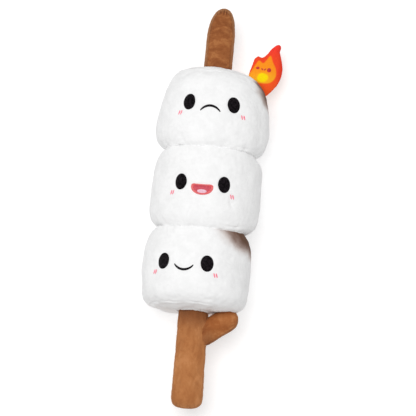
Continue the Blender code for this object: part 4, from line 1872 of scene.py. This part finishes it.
    def face(self) -> list[Embroidery]:
        """Gives the tiny face: two eyes and a smile shaped like a v."""
        made = []
        for name, x, y, width, height in (
            ("left", 0.0449, 0.1494, 0.0020, 0.0016),
            ("right", 0.0577, 0.1477, 0.0023, 0.0025),
        ):
            seat = Seat(x, 0.0, y, 0.0, self.middle_z, 0.03)
            made.append(
                Embroidery(
                    f"stitched_flame_eye_{name}",
                    (),
                    "mouth_thread",
                    seat,
                    StitchPattern.OVAL,
                    half_width=width,
                    above=height,
                    below=height,
                    height=0.0004,
                    edge_height=0.00015,
                    thread_pitch=0.0005,
                    thread_relief=0.00005,
                    buried=0.0006,
                )
            )
        for name, x, y, turn in (("left", 0.0501, 0.1482, -42.0), ("right", 0.0532, 0.1482, 48.0)):
            seat = Seat(x, 0.0, y, 0.0, self.middle_z, 0.03)
            made.append(
                Embroidery(
                    f"stitched_flame_smile_{name}",
                    (),
                    "mouth_thread",
                    seat,
                    StitchPattern.STROKE,
                    bend_radius=0.01,
                    half_angle_deg=8.5,
                    turn_deg=turn,
                    line_width=0.0015,
                    height=0.0003,
                    edge_height=0.00015,
                    thread_pitch=0.0004,
                    thread_relief=0.00003,
                    buried=0.0006,
                )
            )
        return made

    def build(self, finishes: Finishes) -> bpy.types.Object:
        """Makes the flame and its face.

        Args:
            finishes: Every finish.

        Returns:
            The flame's stuffed piece.
        """
        piece = copy_node("flame", "printed_flame")
        edge = self.cut_outline(piece)
        bpy.ops.object.mode_set(mode="EDIT")
        bpy.ops.mesh.select_all(action="SELECT")
        bpy.ops.mesh.extrude_region_move(TRANSFORM_OT_translate={"value": (0.0, 0.0, self.plate)})
        bpy.ops.mesh.select_all(action="SELECT")
        bpy.ops.transform.translate(value=(0.0, 0.0, -self.plate / 2))
        bpy.ops.mesh.normals_make_consistent(inside=False)
        bpy.ops.object.mode_set(mode="OBJECT")
        remesh(piece, self.stuffing.voxel)
        gaps = self.swell(piece, edge)
        self.stuffing.fill(piece, smooth_step(gaps, 0.0030, 0.0012))
        subdivide(piece, 1)
        self.sculpt(piece, edge)
        self.paint(piece)
        dress(piece, finishes.flame, ("flame",))
        tree = surface_tree(piece)
        for patch in self.face():
            patch.build(tree, finishes)
        return piece


@dataclass(frozen=True)
class PhotoCamera:
    """The camera, which looks down on the toy as the photograph does.

    Attributes:
        distance: How far it is from its target.
        tilt_deg: How far it is tipped towards the handle from straight above.
        roll_deg: How far it is turned about its own line of sight.
        target: What it looks at.
        field: Width of what it sees at its target.
        sensor: Width of its sensor in millimetres.
    """

    distance: float = 2.0
    tilt_deg: float = 8.0
    roll_deg: float = 5.3
    target: tuple[float, float, float] = (0.00385, -0.0157, AXIS_HEIGHT)
    field: float = 0.4576
    sensor: float = 36.0

    def build(self) -> None:
        """Makes the camera and looks through it."""
        tilt, roll = math.radians(self.tilt_deg), math.radians(self.roll_deg)
        down = Vector((0.0, math.sin(tilt), -math.cos(tilt)))
        level_right = Vector((1.0, 0.0, 0.0))
        level_up = Vector((0.0, math.cos(tilt), math.sin(tilt)))
        right = math.cos(roll) * level_right + math.sin(roll) * level_up
        up = math.cos(roll) * level_up - math.sin(roll) * level_right
        data = bpy.data.cameras.new("photo_camera")
        data.sensor_width = self.sensor
        data.lens = self.sensor * self.distance / self.field
        camera = bpy.data.objects.new("photo_camera", data)
        bpy.context.scene.collection.objects.link(camera)
        turned = Matrix((right, up, -down)).transposed().to_4x4()
        turned.translation = Vector(self.target) - self.distance * down
        camera.matrix_world = turned
        bpy.context.scene.camera = camera


@dataclass(frozen=True)
class SoftBox:
    """One large soft lamp, aimed at the toy."""

    name: str
    place: tuple[float, float, float]
    size: float
    power: float

    def build(self) -> None:
        """Makes the lamp."""
        data = bpy.data.lights.new(self.name, "AREA")
        data.shape = "DISK"
        data.size = self.size
        data.energy = self.power
        lamp = bpy.data.objects.new(self.name, data)
        bpy.context.scene.collection.objects.link(lamp)
        lamp.location = self.place
        aim = Vector((0.0, 0.0, AXIS_HEIGHT)) - Vector(self.place)
        lamp.rotation_euler = aim.to_track_quat("-Z", "Y").to_euler()


@dataclass(frozen=True)
class Studio:
    """The plain pale room: a floor that glows a little, a soft lamp and an even white surround."""

    floor_size: float = 12.0
    floor_colour: Colour = (0.64, 0.64, 0.64, 1.0)
    floor_glow: float = 0.48
    surround: float = 0.40
    lamps: tuple[SoftBox, ...] = (SoftBox("key_lamp", (-0.26, 0.12, 2.2), 1.2, 31.0),)

    def build(self) -> None:
        """Makes the floor, the lamps and the surround."""
        bpy.ops.object.select_all(action="DESELECT")
        bpy.ops.mesh.primitive_plane_add(size=self.floor_size, location=(0.0, 0.0, -0.0002))
        floor = bpy.context.object
        floor.name = "studio_floor"
        material, _, shader = start_material("studio_floor")
        shader.inputs["Base Color"].default_value = self.floor_colour
        shader.inputs["Roughness"].default_value = 0.9
        shader.inputs["Specular IOR Level"].default_value = 0.1
        shader.inputs["Emission Color"].default_value = (1.0, 1.0, 1.0, 1.0)
        shader.inputs["Emission Strength"].default_value = self.floor_glow
        floor.data.materials.append(material)
        for lamp in self.lamps:
            lamp.build()
        world = bpy.data.worlds.new("studio_surround")
        world.use_nodes = True
        surround = world.node_tree.nodes["Background"]
        surround.inputs["Color"].default_value = (1.0, 1.0, 1.0, 1.0)
        surround.inputs["Strength"].default_value = self.surround
        bpy.context.scene.world = world
        bpy.context.scene.view_settings.view_transform = "Standard"


def make_marshmallows() -> tuple[Marshmallow, ...]:
    """Gives the three marshmallows, from the tip end to the handle end."""
    top = Marshmallow(
        "top",
        widest=0.079,
        radius=0.0616,
        roll_deg=-1.5,
        pitch_deg=0.0,
        rims=(
            Rim(
                toward=1,
                end=0.1390,
                corner=0.030,
                seam_reach=0.044,
                seam_along=0.129,
                ridge=0.0005,
                pucker=0.0008,
                seed=11,
                roll=0.0004,
            ),
        ),
        joins=(Join(UPPER_JOIN, 0.0, side=1, front_shift=0.0060, seed=14),),
        face=Face(
            "top",
            CENTRE_X["top"],
            turn_deg=-3.4,
            eye_along=0.0901,
            eye_tilts=(4.7, -8.7),
            cheek_shifts=(1.15, 0.95),
            mouth_shift=-0.6,
        ),
        creases=(
            Crease((24.0, 0.0480), (60.0, 0.0485), 0.0007, 0.0011),
            Crease((-46.0, 0.0470), (-22.0, 0.0495), 0.0004, 0.0012),
            Crease((38.0, 0.118), (58.0, 0.112), 0.0006, 0.0018),
        ),
        bulges=(
            Bulge(-80.0, 0.1300, 42.0, 0.010, 0.0015),
            Bulge(-90.0, 0.1020, 42.0, 0.018, -0.0028),
            Bulge(90.0, 0.1080, 42.0, 0.018, -0.0022),
            Bulge(90.0, 0.0720, 42.0, 0.015, 0.0013),
        ),
        stick_reach=0.0150,
        gather_seed=6220,
        lump_shift=1.3,
    )
    middle = Marshmallow(
        "middle",
        widest=-0.002,
        radius=0.0602,
        roll_deg=0.0,
        pitch_deg=0.0,
        rims=(),
        joins=(
            Join(UPPER_JOIN, 0.0, side=-1, front_shift=0.0066, seed=23),
            Join(LOWER_JOIN, LOWER_JOIN_LEAN_DEG, side=1, front_shift=0.0058, seed=26),
        ),
        face=Face(
            "middle",
            CENTRE_X["middle"],
            turn_deg=-4.5,
            eye_along=0.0028,
            eye_tilts=(-1.3, -3.7),
            eye_shifts=(0.0, -0.45),
            cheek_shifts=(1.2, -0.95),
        ),
        creases=(
            Crease((25.0, -0.0090), (32.0, -0.0250), 0.0006, 0.0018),
            Crease((20.0, -0.0400), (52.0, -0.0385), 0.0007, 0.0012),
            Crease((-42.0, -0.0395), (-14.0, -0.0405), 0.0004, 0.0013),
        ),
        bulges=(Bulge(-90.0, 0.0300, 42.0, 0.010, -0.0011),),
        lump_shift=5.9,
    )
    bottom = Marshmallow(
        "bottom",
        widest=-0.088,
        radius=0.0593,
        roll_deg=0.0,
        pitch_deg=-4.0,
        rims=(
            Rim(
                toward=-1,
                end=-0.1312,
                corner=0.014,
                seam_reach=0.0470,
                seam_along=-0.1293,
                ridge=-0.0004,
                pucker=0.0012,
                seed=37,
                roll=0.0014,
                wander=0.0014,
                unevenness=0.6,
                calm=0.75,
            ),
        ),
        joins=(Join(LOWER_JOIN, LOWER_JOIN_LEAN_DEG, side=-1, front_shift=0.0058, seed=41),),
        bulges=(
            Bulge(-90.0, -0.0560, 42.0, 0.011, -0.0014),
            Bulge(-90.0, -0.1130, 42.0, 0.014, -0.0020),
        ),
        face=Face(
            "bottom",
            CENTRE_X["bottom"],
            turn_deg=-12.3,
            eye_along=-0.0834,
            eye_tilts=(1.0, -2.8),
            eye_shifts=(-1.5, 0.0),
            cheek_shifts=(-0.8, -0.7),
            mouth_shift=-0.95,
        ),
        stick_reach=0.0158,
        gather_seed=5990,
        lump_shift=9.4,
    )
    return top, middle, bottom


def make_stick() -> tuple[StickPiece, ...]:
    """Gives the stick's three pieces."""
    depth_share = 0.82
    tip = StickPiece(
        "tip",
        origin=(0.0004, 0.0),
        direction_deg=90.0,
        half_width=0.0156,
        half_depth=0.0156 * depth_share,
        seam_share=0.60,
        bury=0.0040,
        gathers=(0.2045, 0.0060, 0.0004, 1.0),
        fold_sizes=(0.022, 0.0080, 0.020),
        base=("marshmallow_top", 0.0010),
        shaded=(0.1500, 0.1385, 0.45),
        lean=(0.150, 0.060, 0.0014),
        fold_depth=0.00020,
    )
    handle = StickPiece(
        "handle",
        origin=(-0.0007, -0.128),
        direction_deg=90.9,
        half_width=0.0170,
        half_depth=0.0170 * depth_share,
        seam_share=0.42,
        bury=-0.0040,
        gathers=(-0.106, 0.006, 0.0003, 0.15),
        fold_sizes=(0.012, 0.030, 0.020),
        base=("marshmallow_bottom", 0.0010),
        shaded=(-0.027, -0.006, 0.60),
        fold_depth=0.00018,
        blunt=(-0.105, 0.006, 0.0012),
    )
    branch = StickPiece(
        "branch",
        origin=(0.0345, -0.1372),
        direction_deg=37.0,
        half_width=0.0126,
        half_depth=0.0126 * depth_share,
        seam_share=0.46,
        bury=0.0040,
        gathers=(0.000, 0.007, 0.0004, 0.40),
        fold_sizes=(0.013, 0.013, 0.020),
        base=("stick_handle", 0.0010),
        shaded=(-0.012, -0.030, 0.45),
        fold_depth=0.00022,
        plump=0.0010,
        cap=0.0018,
    )
    return tip, handle, branch


def main() -> None:
    """Builds the toy in its studio."""
    logging.basicConfig(level=logging.INFO, format="%(name)s: %(message)s")
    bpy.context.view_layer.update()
    PhotoCamera().build()
    Studio().build()
    finishes = make_finishes()
    for part in (*make_marshmallows(), *make_stick(), Flame()):
        piece = part.build(finishes)
        LOG.info("%s is finished", piece.name)


if __name__ == "__main__":
    main()
